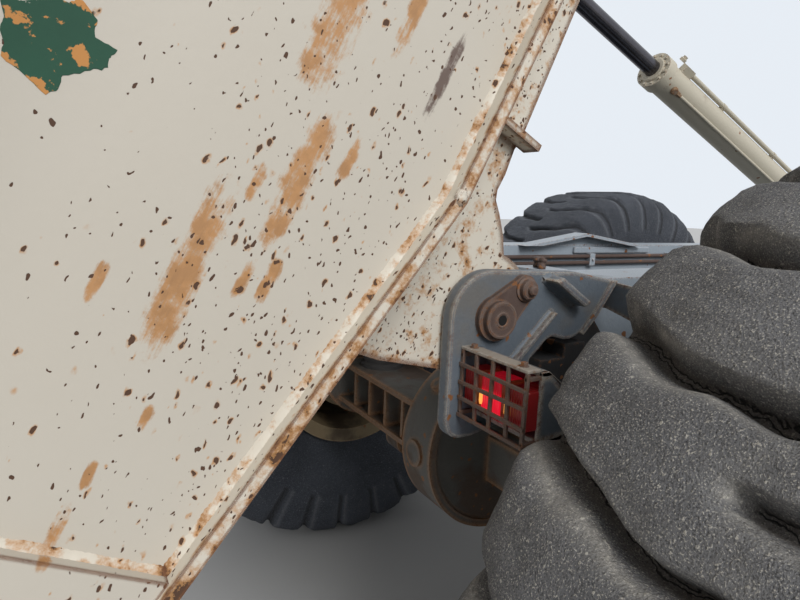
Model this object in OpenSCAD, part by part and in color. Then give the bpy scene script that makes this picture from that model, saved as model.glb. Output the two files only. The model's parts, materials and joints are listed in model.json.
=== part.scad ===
// Rear unit of an articulated dump truck, with its tipping body raised.
// X runs forward, Y to the left and Z up. The origin is the centre of the hitch's front face.
// The frame is drawn from the rear axle's centre line on the ground, and moved at the end.
// The tipping body is drawn lowered, from its hinge pin, and then raised round that pin.

/* [Frame] */
// Distance from the rear axle forward to the hitch's front face
hitch_x = 4450; // [4300:10:4700]
// Height of the hitch's centre above the ground
hitch_z = 950; // [930:5:980]
// Inner face of each rail, from the centre line
rail_in = 370; // [350:5:380]
// Width of each box rail
rail_w = 140; // [120:5:145]
// Height of the rails' top above the ground
rail_top = 1345; // [1325:5:1350]
// Depth of the rails over the axles
rail_depth = 285; // [250:5:300]
// Rear end of the rails, from the rear axle
rail_tail = -300; // [-320:5:-280]

// Rear face of the front cross box, from the rear axle
front_box_x = 3560; // [3540:5:3580]
// Length of the front cross box
front_box_len = 140; // [120:5:160]
// Rear face of the middle cross box, from the rear axle
mid_box_x = 2350; // [2300:10:2400]
// Length of the middle cross box
mid_box_len = 180; // [160:5:200]

/* [Hitch] */
// Radius of the pilot bore in the hitch's face
pilot_r = 200; // [190:5:210]
// Depth of the pilot bore
pilot_depth = 60; // [40:5:80]
// Outer radius of the hitch tube
hitch_tube_r = 235; // [225:5:250]
// Outer radius of the hitch flange
hitch_flange_r = 330; // [325:5:350]
// Thickness of the hitch flange
hitch_flange_t = 45; // [30:1:60]
// Radius of the hitch's bolt circle
hitch_bolt_circle = 290; // [285:1:295]
// Number of bolts in the hitch flange
hitch_bolts = 16; // [8:2:20]
// Radius of each bolt hole
hitch_bolt_r = 13.5; // [9:0.5:16]

/* [Wheels] */
// Outside radius over the lugs
tyre_r = 800; // [780:5:810]
// Overall width of a tyre
tyre_w = 600; // [560:10:620]
// Wheel centre, from the truck's centre line
wheel_y = 1137; // [1130:1:1160]
// Distance between the rear axle and the middle axle
bogie = 1730; // [1700:10:1760]
// Depth of the grooves between lugs
lug_depth = 55; // [40:1:60]
// Lugs in each half of the tread
lugs = 28; // [20:1:32]
// Width of a groove between two lugs
groove_w = 38; // [24:1:60]
// Angle by which the grooves lean back from the middle to the shoulder
lug_sweep = 22; // [0:1:35]
// Radius of the rim's bead seat
bead_r = 317.5; // [310:0.5:320]
// Width between the rim's flanges
rim_w = 495; // [480:5:500]
// Radius of the axle spindle
spindle_r = 120; // [110:1:125]

/* [Tipping body] */
// Angle by which the body is raised
raise_angle = 63; // [0:1:65]
// Place of the hinge pin, from the rear axle
pin_x = -470; // [-480:5:-460]
// Height of the hinge pin above the ground
pin_z = 1300; // [1295:1:1305]
// Radius of the hinge pin
pin_r = 31; // [28:0.5:34]
// Underside of the floor above the pin, body lowered
floor_z = 243; // [235:1:260]
// Thickness of the floor plate
floor_t = 18; // [10:1:20]
// Thickness of the side and front plates
side_t = 12; // [8:1:16]
// Outer face of the lower side, from the centre line
side_y = 720; // [715:1:730]
// Outer face of the upper side, from the centre line
upper_y = 1300; // [1250:10:1330]
// Height of the knee where the side starts to flare
knee_z = 800; // [760:10:840]
// Height of the bend above the flare
shoulder_z = 1100; // [1060:10:1140]
// Height of the side's top
top_z = 1500; // [1450:10:1550]
// Front end of the load space
body_front = 4480; // [4400:10:4500]
// Bend where the floor turns up into the tail chute
chute_bend = 85; // [60:5:110]
// Rear end of the chute
chute_tail = -560; // [-580:5:-540]
// Width of the wide rim round the chute's tail
tail_rim_w = 105; // [80:5:140]
// Slope of the tail chute
chute_slope = 12; // [10:0.1:16]

/* [Hoist] */
// Foot pin of a hoist cylinder, from the rear axle
foot_x = 3450; // [3440:5:3460]
// Height of the foot pin above the ground
foot_z = 1340; // [1330:5:1350]
// Head pin of a hoist cylinder on the body, ahead of the hinge pin
head_x = 1480; // [1460:5:1500]
// Height of the head pin above the hinge pin, body lowered
head_z = 84; // [75:1:95]
// Plane of each hoist cylinder, from the centre line
hoist_y = 600; // [598:1:604]
// Radius of the hoist barrel
barrel_r = 75; // [70:1:78]
// Wall of the hoist barrel
barrel_wall = 14; // [10:1:18]
// Radius of the hoist rod
rod_r = 37.5; // [35:0.5:40]
// Distance from the foot pin to the gland's face
barrel_len = 2215; // [2150:5:2260]
// Distance from the piston to the gland with the body raised
rod_guide = 190; // [120:5:260]

/* [Hidden] */
$fn = 64;
run_gap = 0.05;
rail_out = rail_in + rail_w;
rail_low = rail_top - rail_depth;
knuckle_gap = 5;
ear_in = rail_out + 10;
ear_t = 47;
cheek_in = ear_in + ear_t + knuckle_gap;
cheek_t = 28;
cheek_out = cheek_in + cheek_t;
lamp_w = 160;
lamp_back = -380;
lamp_face = -505;
lamp_top = pin_z - 48;
lamp_low = pin_z - 160;
lamp_wall = 12;
axle_z = tyre_r;
rail_end = front_box_x + front_box_len;
box_low = 720;
nose_len = 400;
nose_cover = 300;
yoke_r = 80;
yoke_t = 20;
arm_top = axle_z + 50;
arm_low = axle_z - 120;
arm_end = 760;
beam_in = rail_out + 50;
beam_w = 140;
pivot_x = bogie / 2;
pivot_z = 1000;
pivot_r = 60;
spring_h = 80;
beam_low = arm_top + spring_h;
side_in = side_y - side_t;
floor_top = floor_z + floor_t;
flange_lip = 30;
chute_rise = (chute_bend - chute_tail) * tan(chute_slope);
head_at = [pin_x + cos(raise_angle) * head_x - sin(raise_angle) * head_z,
           pin_z + sin(raise_angle) * head_x + cos(raise_angle) * head_z];
hoist_slope = atan2(head_at[1] - foot_z, foot_x - head_at[0]);
hoist_len = norm([head_at[0] - foot_x, head_at[1] - foot_z]);

CREAM = [0.80, 0.77, 0.68];
BLUE_GREY = [0.36, 0.41, 0.46];
CASTING = [0.27, 0.28, 0.29];
RUST = [0.35, 0.22, 0.15];
STEEL = [0.55, 0.56, 0.58];
BLACK = [0.10, 0.10, 0.11];
RIM = [0.62, 0.55, 0.40];
LENS = [0.80, 0.10, 0.06];

// Moves the frame's drawing to the part's origin.
module truck() translate([-hitch_x, 0, -hitch_z]) children();

// Raises the body's drawing round the hinge pin.
module bed() truck() translate([pin_x, 0, pin_z]) rotate([0, -raise_angle, 0]) children();

// side is 1 on the left and -1 on the right.
module on_side(side) mirror([0, side < 0 ? 1 : 0, 0]) children();

module both_sides() for (side = [1, -1]) on_side(side) children();

// A plate cut to a side-view outline of X and Z, from y0 outwards.
module plate(y0, t) translate([0, y0 + t, 0]) rotate([90, 0, 0]) linear_extrude(t) children();

// A section of Y and Z, drawn along X from x0.
module along_x(x0, length) translate([x0, 0, 0]) rotate([90, 0, 90]) linear_extrude(length) children();

// A round bar across the truck.
module bar_y(x, z, y0, length, r) translate([x, y0 + length, z]) rotate([90, 0, 0])
    cylinder(h = length, r = r);

// Frame

rail_outline = [[rail_tail, rail_top], [rail_end - 400, rail_top], [rail_end, rail_top - 165],
    [rail_end, box_low], [front_box_x - 140, box_low], [mid_box_x + 350, rail_low - 40],
    [mid_box_x, rail_low], [-120, rail_low], [rail_tail, rail_low + 60]];

module frame_rail(side) color(BLUE_GREY) truck() on_side(side) {
    plate(rail_in, rail_w) polygon(rail_outline);
    // Saddle plate that carries the bogie's cross shaft.
    difference() {
        plate(rail_in, rail_w) polygon([[pivot_x - 260, rail_low], [pivot_x + 260, rail_low],
            [pivot_x + 110, pivot_z - 110], [pivot_x - 110, pivot_z - 110]]);
        bar_y(pivot_x, pivot_z, rail_in - 1, rail_w + 2, pivot_r);
    }
}

module frame_rail_left() frame_rail(1);
module frame_rail_right() frame_rail(-1);

module cross_box(x0, z0, length, height) translate([x0, -rail_in, z0])
    cube([length, 2 * rail_in, height]);

module frame_cross_members() color(BLUE_GREY) truck() {
    translate([60, rail_in, rail_top - 120]) rotate([90, 0, 0]) cylinder(h = 2 * rail_in, r = 90);
    cross_box(mid_box_x, rail_low + 20, mid_box_len, 200);
    difference() {
        cross_box(front_box_x, box_low, front_box_len, 460);
        translate([front_box_x - 10, 0, hitch_z]) rotate([0, 90, 0])
            cylinder(h = front_box_len + 20, r = tube_bore_r);
    }
}

tube_bore_r = pilot_r - 40;

module hitch_tube() color(BLUE_GREY) truck() translate([0, 0, hitch_z]) rotate([0, 90, 0]) {
    difference() {
        union() {
            translate([0, 0, rail_end]) cylinder(h = hitch_x - rail_end, r = hitch_tube_r);
            translate([0, 0, hitch_x - hitch_flange_t]) cylinder(h = hitch_flange_t, r = hitch_flange_r);
        }
        translate([0, 0, rail_end - 10]) cylinder(h = hitch_x - rail_end + 20, r = tube_bore_r);
        translate([0, 0, hitch_x - pilot_depth]) cylinder(h = pilot_depth + 1, r = pilot_r);
        for (i = [0 : hitch_bolts - 1]) rotate(i * 360 / hitch_bolts)
            translate([hitch_bolt_circle, 0, hitch_x - hitch_flange_t - 1])
                cylinder(h = hitch_flange_t + 2, r = hitch_bolt_r);
    }
}

// Tail bracket with the hinge pin: a swan-necked cheek outside the ear and a shorter one inside it.

cheek_tail = pin_x - 86;
cheek_head_r = 80;
cheek_front = -184;

// The cheek's edge from the top of its round head forward, down its slanted front, and back under the lamp.
cheek_outline = [[pin_x, pin_z], [pin_x - 6, pin_z + cheek_head_r], [-281, rail_top + 28],
    [cheek_front, rail_top + 10], [-221, pin_z - 1], [-264, pin_z - 44], [-280, pin_z - 51],
    [-300, pin_z - 52],
    [-320, pin_z - 46], [-339, pin_z - 45], [-355, pin_z - 60], [-380, pin_z - 82], [-380, lamp_low - 20],
    [-500, lamp_low - 45], [cheek_tail + 30, lamp_low - 45], [cheek_tail + 8, lamp_low - 37],
    [cheek_tail, lamp_low - 15], [cheek_tail, pin_z]];

module cheek_blank() {
    polygon(cheek_outline);
    translate([cheek_tail + cheek_head_r, pin_z]) circle(cheek_head_r);
}

// Box that carries the outer cheek on the rail.
spacer_tail = -330;
spacer_top = pin_z - 60;

module tail_bracket(side) color(BLUE_GREY) truck() on_side(side) {
    difference() {
        plate(cheek_in, cheek_t) cheek_blank();
        bar_y(pin_x, pin_z, cheek_in - 1, cheek_t + 2, pin_r);
    }
    difference() {
        plate(rail_out - cheek_t, cheek_t) {
            translate([pin_x, pin_z]) circle(cheek_head_r);
            polygon([[pin_x, pin_z + 45], [rail_tail, pin_z + 45], [rail_tail, pin_z - 170],
                [pin_x - 60, pin_z - 50]]);
        }
        bar_y(pin_x, pin_z, rail_out - cheek_t - 1, cheek_t + 2, pin_r);
    }
    plate(rail_out, cheek_out - rail_out) polygon([[spacer_tail, lamp_low], [spacer_tail, spacer_top],
        [-270, spacer_top], [-270, pin_z - 20], [cheek_front + 90, pin_z - 20],
        [cheek_front + 90, lamp_low]]);
    // Slanted pad on the cheek's front corner.
    plate(cheek_in, cheek_t + 34) polygon([[cheek_front - 14, rail_top + 8], [cheek_front, rail_top + 10],
        [-221, pin_z - 1], [-235, pin_z - 1]]);
    // Bar and thin rib welded across the cheek's outer face.
    plate(cheek_out, 46)
        polygon([[-364, pin_z + 62], [-346, pin_z + 69], [-242, pin_z + 3], [-258, pin_z - 6]]);
    plate(cheek_out, 14)
        polygon([[-341, pin_z + 4], [-333, pin_z + 2], [-387, lamp_top], [-395, lamp_top]]);
}

module tail_bracket_left() tail_bracket(1);
module tail_bracket_right() tail_bracket(-1);

// Flag plate: welded to the pin and bolted to the cheek, so that the pin can't turn.
flag_t = 12;
flag_end = [57, 48];

module hinge_pin(side) color(RUST) truck() on_side(side) {
    bar_y(pin_x, pin_z, rail_out - cheek_t, cheek_out - rail_out + cheek_t, pin_r);
    plate(cheek_out, flag_t) translate([pin_x, pin_z]) {
        circle(38);
        translate(flag_end) circle(24);
        polygon([[-24, 29], [24, -29], [flag_end[0] + 15, flag_end[1] - 18],
            [flag_end[0] - 15, flag_end[1] + 18]]);
    }
    bar_y(pin_x, pin_z, cheek_out + flag_t, 12, pin_r);
    translate([pin_x + flag_end[0], cheek_out + flag_t + 13, pin_z + flag_end[1]])
        rotate([90, 0, 0]) cylinder(h = 13, r = 17, $fn = 6);
}

module hinge_pin_left() hinge_pin(1);
module hinge_pin_right() hinge_pin(-1);

// Gable over each rail that centres the body as it comes down: a bent strip over a thin web.
guide_x = [430, 750, 1100];
guide_rise = 50;
guide_t = 12;
guide_foot = 80;

module body_guides() color(BLUE_GREY) truck() both_sides() {
    plate(rail_in - 47, 70) polygon([[guide_x[0], rail_top], [guide_x[1], rail_top + guide_rise],
        [guide_x[2], rail_top], [guide_x[2] - guide_foot, rail_top],
        [guide_x[1], rail_top + guide_rise - guide_t], [guide_x[0] + guide_foot, rail_top]]);
    plate(rail_in, guide_t) polygon([[guide_x[0] + guide_foot - 10, rail_top],
        [guide_x[1], rail_top + guide_rise - guide_t / 2], [guide_x[2] - guide_foot + 10, rail_top]]);
}

// Tail lamps

module lamp_housings() color(BLUE_GREY) truck() both_sides() difference() {
    plate(cheek_out, lamp_w) polygon([[lamp_face, lamp_top], [lamp_back, lamp_top],
        [lamp_back, lamp_low + 30], [lamp_face + 30, lamp_low], [lamp_face, lamp_low]]);
    translate([lamp_face - 1, cheek_out + lamp_wall, lamp_low + 14])
        cube([60, lamp_w - 2 * lamp_wall, lamp_top - lamp_low - 20]);
}

// The lens stands on the housing's floor, and leaves a dark gap under the housing's top.
lens_low = lamp_low + 28;
lens_top = lamp_top - 24;

module lamp_lenses() color(LENS) truck() both_sides() {
    translate([lamp_face + 5, cheek_out + lamp_wall, lens_low])
        cube([54, lamp_w - 2 * lamp_wall, lens_top - lens_low]);
    // Foot that stands on the housing's floor.
    translate([lamp_face + 25, cheek_out + 30, lamp_low + 14])
        cube([34, lamp_w - 60, lens_low - lamp_low - 14]);
}

guard_bar = 7;
guard_x = lamp_face - 28;
guard_low = lamp_low - 2;
guard_cols = 4;
guard_pitch = (lamp_w - guard_bar) / guard_cols;
guard_rise = (lamp_top - guard_low) / 4;

// Welded grid round the lamp, with a slotted plate on top and a sloped one with openings below.
module lamp_guards() color(RUST) truck() both_sides() {
    for (i = [0 : guard_cols]) translate([guard_x, cheek_out + i * guard_pitch, guard_low])
        cube([guard_bar, guard_bar, lamp_top - guard_low]);
    for (i = [0 : 3]) translate([guard_x, cheek_out, guard_low + i * guard_rise])
        cube([guard_bar, lamp_w, guard_bar]);
    difference() {
        translate([guard_x, cheek_out, lamp_top]) cube([90, lamp_w, 6]);
        for (i = [0 : guard_cols - 1])
            translate([guard_x + guard_bar, cheek_out + i * guard_pitch + 9, lamp_top - 1])
                cube([16, guard_pitch - 11, 8]);
    }
    difference() {
        plate(cheek_out, lamp_w) polygon([[guard_x, guard_low], [guard_x + 70, guard_low - 34],
            [guard_x + 70, guard_low - 28], [guard_x + guard_bar, guard_low + guard_bar],
            [guard_x, guard_low + guard_bar]]);
        for (i = [0 : guard_cols - 1])
            translate([guard_x + 18, cheek_out + i * guard_pitch + 10, guard_low - 60])
                cube([34, guard_pitch - 13, 80]);
    }
    for (y = [0, lamp_w - guard_bar]) translate([guard_x, cheek_out + y, lamp_low])
        cube([lamp_face - guard_x, guard_bar, guard_bar]);
}

// Bogie

module bogie_cross_shaft() color(CASTING) truck()
    bar_y(pivot_x, pivot_z, -beam_in - beam_w - 20, 2 * (beam_in + beam_w + 20), pivot_r);

module bogie_beam(side) color(BLUE_GREY) truck() on_side(side) difference() {
    plate(beam_in, beam_w) {
        polygon([[-90, beam_low], [90, beam_low], [pivot_x - 150, pivot_z - 120],
            [pivot_x + 150, pivot_z - 120], [bogie - 90, beam_low], [bogie + 90, beam_low],
            [bogie + 90, beam_low + 60], [pivot_x + 130, pivot_z + 100], [pivot_x - 130, pivot_z + 100],
            [-90, beam_low + 60]]);
    }
    bar_y(pivot_x, pivot_z, beam_in - 1, beam_w + 2, pivot_r);
}

module bogie_beam_left() bogie_beam(1);
module bogie_beam_right() bogie_beam(-1);

module bogie_springs() color(BLACK) truck() both_sides() for (x = [0, bogie])
    translate([x, beam_in + beam_w / 2, arm_top]) rotate_extrude()
        polygon([[0, 0], [85, 0], [85, 12], [72, 20], [78, spring_h / 2], [72, spring_h - 20],
            [85, spring_h - 12], [85, spring_h], [0, spring_h]]);

drum_r = 250;
drum_out = -100;
drum_in = 40;
arm_half = 120;
arm_plate = 18;
// Arms of an axle: side, distance of its inner end from the centre line, and ribs.
arms = [[1, 30, [150, 270, 390, 510, 630]], [-1, 330, [390, 510, 630]]];

module bar_x(x0, length, y, z, r) translate([x0, y, z]) rotate([0, 90, 0]) cylinder(h = length, r = r);

// Axle casing: a flat-sided drum round the gears, a nose for the pinion, flanged arms and spindles.
module axle_casing(rear_flange) {
    bar_y(0, axle_z, drum_out, drum_in - drum_out, drum_r);
    // Thick rim round the drum's flat side.
    difference() {
        bar_y(0, axle_z, drum_out - 6, 7, drum_r);
        bar_y(0, axle_z, drum_out - 7, 9, drum_r - 22);
    }
    bar_x(-drum_r - 7, 40, -32, axle_z - 8, 38);
    translate([0, -30, axle_z]) rotate([0, 45, 0]) bar_x(-drum_r - 16, 40, 0, 0, 20);
    translate([0, 0, axle_z]) rotate([0, 90, 0]) rotate_extrude()
        polygon([[0, 30], [175, 30], [185, 150], [120, 240], [105, nose_len - 40], [yoke_r, nose_len - 40],
            [yoke_r, nose_len], [0, nose_len]]);
    // Step where the drum's top meets the arms, and the neck of the right arm.
    translate([-arm_half, drum_in - 10, arm_top - arm_plate]) cube([2 * arm_half, 40, arm_plate + 16]);
    translate([-45, -340, arm_low + arm_plate]) cube([90, 340, arm_top - arm_low - 2 * arm_plate]);
    if (rear_flange) bar_x(-nose_cover, nose_cover - drum_r + 40, 0, axle_z, yoke_r);
    for (arm = arms) on_side(arm[0]) {
        length = arm_end - arm[1];
        for (z = [arm_top - arm_plate, arm_low]) translate([-arm_half, arm[1], z])
            cube([2 * arm_half, length, arm_plate]);
        translate([-45, arm[1], arm_low + arm_plate]) cube([90, length, arm_top - arm_low - 2 * arm_plate]);
        for (y = arm[2]) translate([-arm_half + 8, y, arm_low + arm_plate])
            cube([2 * arm_half - 16, 14, arm_top - arm_low - 2 * arm_plate]);
        bar_y(0, axle_z, arm_end, 24, 190);
        bar_y(0, axle_z, arm_end + 24, wheel_y - 20 - arm_end - 24, spindle_r);
    }
}

module rear_axle_housing() color(CASTING) truck() axle_casing(false);
module mid_axle_housing() color(CASTING) truck() translate([bogie, 0, 0]) axle_casing(true);

// Trailing links from the axles to hangers under the rails.

link_z = axle_z - 180;
link_y = 440;
link_r = 28;

module axle_links() color(CASTING) truck() both_sides() {
    for (ends = [[0, pivot_x - 60], [pivot_x + 60, bogie]]) {
        translate([ends[0], link_y, link_z]) rotate([0, 90, 0]) cylinder(h = ends[1] - ends[0], r = link_r);
        for (x = ends) bar_y(x, link_z, link_y - 45, 90, 52);
    }
    for (x = [0, bogie]) translate([x - 50, link_y - 60, link_z + 20])
        cube([100, 120, arm_low - link_z - 20]);
    translate([pivot_x - 120, link_y - 60, link_z - 40]) cube([240, 12, pivot_z - 110 - link_z + 40]);
    translate([pivot_x - 120, link_y + 48, link_z - 40]) cube([240, 12, pivot_z - 110 - link_z + 40]);
}

shaft_r = 45;

// A drive shaft between two upright flanges, which lie against the flanges that they are bolted to.
module shaft_between(a, b) {
    run = [b[0] - a[0] - yoke_t, b[1] - a[1]];
    for (end = [a, [b[0] - yoke_t, b[1]]]) translate([end[0], 0, end[1]]) rotate([0, 90, 0])
        cylinder(h = yoke_t, r = yoke_r);
    translate([a[0] + yoke_t / 2, 0, a[1]]) rotate([0, 90 - atan2(run[1], run[0]), 0])
        cylinder(h = norm(run), r = shaft_r);
}

bearing_x = front_box_x - 170;

module drive_shafts() color(CASTING) truck() {
    shaft_between([nose_len, axle_z], [bogie - nose_cover, axle_z]);
    shaft_between([bogie + nose_len, axle_z], [bearing_x, hitch_z]);
    translate([bearing_x, 0, hitch_z]) rotate([0, 90, 0]) {
        cylinder(h = front_box_x - bearing_x, r = tube_bore_r + 20);
        cylinder(h = hitch_x - pilot_depth - 20 - bearing_x, r = shaft_r);
        translate([0, 0, hitch_x - pilot_depth - 40 - bearing_x]) cylinder(h = 20, r = yoke_r);
    }
}

// Hoist foot: two plates round the barrel's eye, with the foot pin.

eye_w = 100;
foot_plate = 22;

module hoist_foot(side) color(BLUE_GREY) truck() on_side(side) {
    for (y = [rail_out, hoist_y + eye_w / 2 + 6]) plate(y, foot_plate) {
        translate([foot_x, foot_z]) circle(62);
        polygon([[foot_x - 62, foot_z], [foot_x + 62, foot_z], [foot_x + 90, foot_z - 140],
            [foot_x - 90, foot_z - 140]]);
    }
    translate([foot_x - 90, rail_out, foot_z - 158])
        cube([180, hoist_y + eye_w / 2 + 6 + foot_plate - rail_out, 24]);
    bar_y(foot_x, foot_z, rail_out, hoist_y + eye_w / 2 + 6 + foot_plate + 12 - rail_out, 30);
}

module hoist_foot_left() hoist_foot(1);
module hoist_foot_right() hoist_foot(-1);

// Hoist cylinder, drawn along -X from the foot pin.

module hoist(side) truck() on_side(side) translate([foot_x, hoist_y, foot_z])
    rotate([0, hoist_slope, 0]) children();

pipe_turn = 40;

module barrel_part(from, to, r) translate([-to, 0, 0]) rotate([0, 90, 0]) cylinder(h = to - from, r = r);

module hoist_barrel(side) color(CREAM) hoist(side) difference() {
    union() {
        barrel_part(90, barrel_len - 40, barrel_r);
        barrel_part(barrel_len - 60, barrel_len, barrel_r + 10);
        bar_y(0, 0, -eye_w / 2, eye_w, 68);
        barrel_part(40, 95, eye_w / 2 - 5);
        // Pipe along the side towards the rail, between two port bosses.
        rotate([pipe_turn, 0, 0]) {
            translate([-barrel_len + 120, -18, barrel_r - 20]) cube([70, 36, 54]);
            translate([-barrel_len + 140, 0, barrel_r + 16]) rotate([0, 90, 0])
                cylinder(h = barrel_len - 400, r = 12);
            translate([-290, -18, barrel_r - 20]) cube([50, 36, 54]);
        }
    }
    barrel_part(150, barrel_len - 90, barrel_r - barrel_wall);
    barrel_part(140, barrel_len + 1, rod_r + run_gap);
    bar_y(0, 0, -eye_w / 2 - 1, eye_w + 2, 30 + run_gap);
}

module hoist_barrel_left() hoist_barrel(1);
module hoist_barrel_right() hoist_barrel(-1);

rod_start = barrel_len - 150 - rod_guide;
head_w = 60;

module hoist_rod(side) color(STEEL) hoist(side) {
    barrel_part(rod_start, hoist_len - 40, rod_r);
    barrel_part(rod_start, rod_start + 60, barrel_r - barrel_wall - run_gap);
    translate([-hoist_len, 0, 0]) {
        bar_y(0, 0, -head_w / 2, head_w, 65);
        bar_y(0, 0, -head_w / 2 - 9.6, head_w + 19.2, 30);
    }
}

module hoist_rod_left() hoist_rod(1);
module hoist_rod_right() hoist_rod(-1);

// Tipping body, drawn lowered from the hinge pin

module body_floor() color(CREAM) bed() plate(-side_y - flange_lip, 2 * (side_y + flange_lip))
    polygon([[body_front + side_t, floor_z], [chute_bend, floor_z], [chute_tail, floor_z + chute_rise],
        [chute_tail, floor_top + chute_rise], [chute_bend, floor_top], [body_front + side_t, floor_top]]);

side_outline = [[chute_bend, floor_top], [body_front, floor_top], [body_front, top_z],
    [chute_tail + 60, top_z], [chute_tail, knee_z], [chute_tail, floor_top + chute_rise]];

function side_section(y_lower, y_upper, lift) = [[y_lower, 0], [y_lower, knee_z + lift],
    [y_upper, shoulder_z + lift], [y_upper, top_z]];

function reversed(list) = [for (i = [len(list) - 1 : -1 : 0]) list[i]];

module body_side(side) color(CREAM) bed() on_side(side) {
    intersection() {
        along_x(chute_tail, body_front - chute_tail)
            polygon(concat(side_section(side_y, upper_y, 0),
                reversed(side_section(side_in, upper_y - side_t, 7))));
        plate(0, 2 * upper_y) polygon(side_outline);
    }
    // Wide rim down the rear edge.
    plate(side_y, 22) polygon([[chute_tail, floor_top + chute_rise],
        [chute_tail + tail_rim_w, floor_top + chute_rise - tail_rim_w * tan(chute_slope)],
        [chute_tail + tail_rim_w, knee_z - 40], [chute_tail, knee_z - 40]]);
}

module body_side_left() body_side(1);
module body_side_right() body_side(-1);

spill_rise = 110;
spill_half = 900;

module body_front_wall() color(CREAM) bed() {
    along_x(body_front, side_t) polygon([[-side_y, floor_top], [side_y, floor_top], [side_y, knee_z],
        [upper_y, shoulder_z], [upper_y, top_z], [spill_half, top_z + spill_rise],
        [-spill_half, top_z + spill_rise],
        [-upper_y, top_z], [-upper_y, shoulder_z], [-side_y, knee_z]]);
    // Spill guard that leans forward over the hitch.
    plate(-spill_half, 2 * spill_half) polygon([[body_front, top_z + spill_rise - side_t],
        [body_front + 220, top_z + spill_rise + 60], [body_front + 220, top_z + spill_rise + 72],
        [body_front, top_z + spill_rise]]);
    // Upright ribs, each let into the wall.
    for (y = [-600, -200, 200, 600]) plate(y - 40, 80)
        polygon([[body_front + side_t / 2, floor_top + 60], [body_front + 70, floor_top + 60],
            [body_front + 70, top_z - 60], [body_front + side_t / 2, top_z]]);
}

rib_w = 110;
rib_t = 55;
rib_places = [950, 1900, 2850, 3800];

module body_ribs() color(CREAM) bed() both_sides() {
    for (x = rib_places) along_x(x - rib_w / 2, rib_w) polygon([[side_y, floor_top + 40],
        [side_y + rib_t, floor_top + 70], [side_y + rib_t, knee_z - 30], [upper_y + rib_t, shoulder_z - 28],
        [upper_y + rib_t, top_z - 80], [upper_y, top_z - 80], [upper_y, shoulder_z], [side_y, knee_z]]);
    // Box rail along the top edge.
    along_x(chute_tail + 60, body_front - chute_tail - 60)
        polygon([[upper_y, top_z - 80], [upper_y + 80, top_z - 80], [upper_y + 80, top_z], [upper_y, top_z]]);
}

runner_in = rail_in + 30;
runner_w = rail_out - knuckle_gap - runner_in;
runner_low = 55;
runner_tail = 330;
runner_heel = 30;
runner_front = body_front - 200;
runner_toe = 220;

module body_runners() color(CREAM) bed() both_sides()
    plate(runner_in, runner_w) polygon([[runner_tail, floor_z], [runner_front, floor_z],
        [runner_front, runner_low + 95], [runner_front - runner_toe, runner_low],
        [runner_tail + runner_heel, runner_low], [runner_tail, runner_low + 35]]);

// Hinge ear: hangs from the floor beside the runner and turns on the hinge pin.
ear_boss = 110;
ear_rib_x = 278;
ear_rib_low = 64;

module hinge_ears() color(CREAM) bed() both_sides() {
    difference() {
        plate(ear_in, ear_t) {
            circle(ear_boss);
            polygon([[620, floor_z], [560, 93], [294, 80], [272, 84], [227, 79], [197, 80], [181, 74],
                [166, 56], [137, 28], [99, 2], [0, 0], [-ear_boss, 0], [-116, 30], [-146, 150],
                [-152, 205], [-150, floor_z + (chute_bend + 150) * tan(chute_slope)],
                [chute_bend, floor_z]]);
        }
        bar_y(0, 0, ear_in - 1, ear_t + 2, pin_r + run_gap);
    }
    // Small rib that stands out from the ear's face.
    translate([ear_rib_x, ear_in + ear_t, ear_rib_low]) cube([side_t, 38, floor_z - ear_rib_low]);
}

lug_t = 25;
lug_r = 75;
lug_tail = 150;
lug_front = 260;

module hoist_lugs() color(CREAM) bed() both_sides() {
    for (y = [hoist_y - head_w / 2 - 10 - lug_t, hoist_y + head_w / 2 + 10]) plate(y, lug_t) {
        translate([head_x, head_z]) circle(lug_r);
        polygon([[head_x - lug_tail, floor_z], [head_x + lug_front, floor_z], [head_x + 66, head_z - 35],
            [head_x, head_z - lug_r], [head_x - 66, head_z - 35]]);
    }
    bar_y(head_x, head_z, hoist_y + head_w / 2 + 10 + lug_t, 14, 38);
    bar_y(head_x, head_z, hoist_y - head_w / 2 - 10 - lug_t - 14, 14, 38);
}

// Wheels, drawn round Y with the outboard side at +Y

module wheel_at(x, side) truck() on_side(side) translate([x, wheel_y, axle_z]) rotate([-90, 0, 0]) children();

module rim(x, side) color(RIM) wheel_at(x, side) difference() {
    rotate_extrude() polygon([[0, -40], [165, -240], [205, -240], [205, 40], [275, 60],
        [275, -150], [bead_r - 14, -rim_w / 2 - 10],
        [bead_r + 38, -rim_w / 2 - 24], [bead_r + 38, -rim_w / 2],
        [bead_r, -rim_w / 2], [bead_r, rim_w / 2], [bead_r + 38, rim_w / 2], [bead_r + 38, rim_w / 2 + 24],
        [bead_r - 14, rim_w / 2 + 10], [290, 90], [200, 85], [190, 190], [150, 215], [0, 215]]);
    translate([0, 0, -241]) cylinder(h = 241 - 15, r = spindle_r + run_gap);
}

module rim_rear_left() rim(0, 1);
module rim_rear_right() rim(0, -1);
module rim_mid_left() rim(bogie, 1);
module rim_mid_right() rim(bogie, -1);

groove_r = tyre_r - lug_depth;
groove_share = groove_w * lugs / (2 * PI * tyre_r);
wheel_pitch = 360 / lugs;

// Edges of one groove: share of a pitch from its middle, and 1 on the lug or 0 on the groove's floor.
groove_edges = [[-0.62 * groove_share, 1], [-0.38 * groove_share, 0], [0.38 * groove_share, 0],
    [0.62 * groove_share, 1]];
// Rows of half a tread, from the middle out: distance from the middle, radius on a lug, radius in a groove.
tread_rows = [[40, tyre_r, groove_r], [tyre_w / 2 - 65, tyre_r - 16, groove_r - 15]];
// Rows of a side wall down to the bead: distance from the middle, and radius.
wall_rows = [[tyre_w / 2 - 18, groove_r - 55], [tyre_w / 2, 580],
    [rim_w / 2, (bead_r + 38) / cos(wheel_pitch / 2)], [rim_w / 2, bead_r / cos(wheel_pitch / 2)]];
cell = 4 * len(tread_rows) + len(wall_rows);

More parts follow.
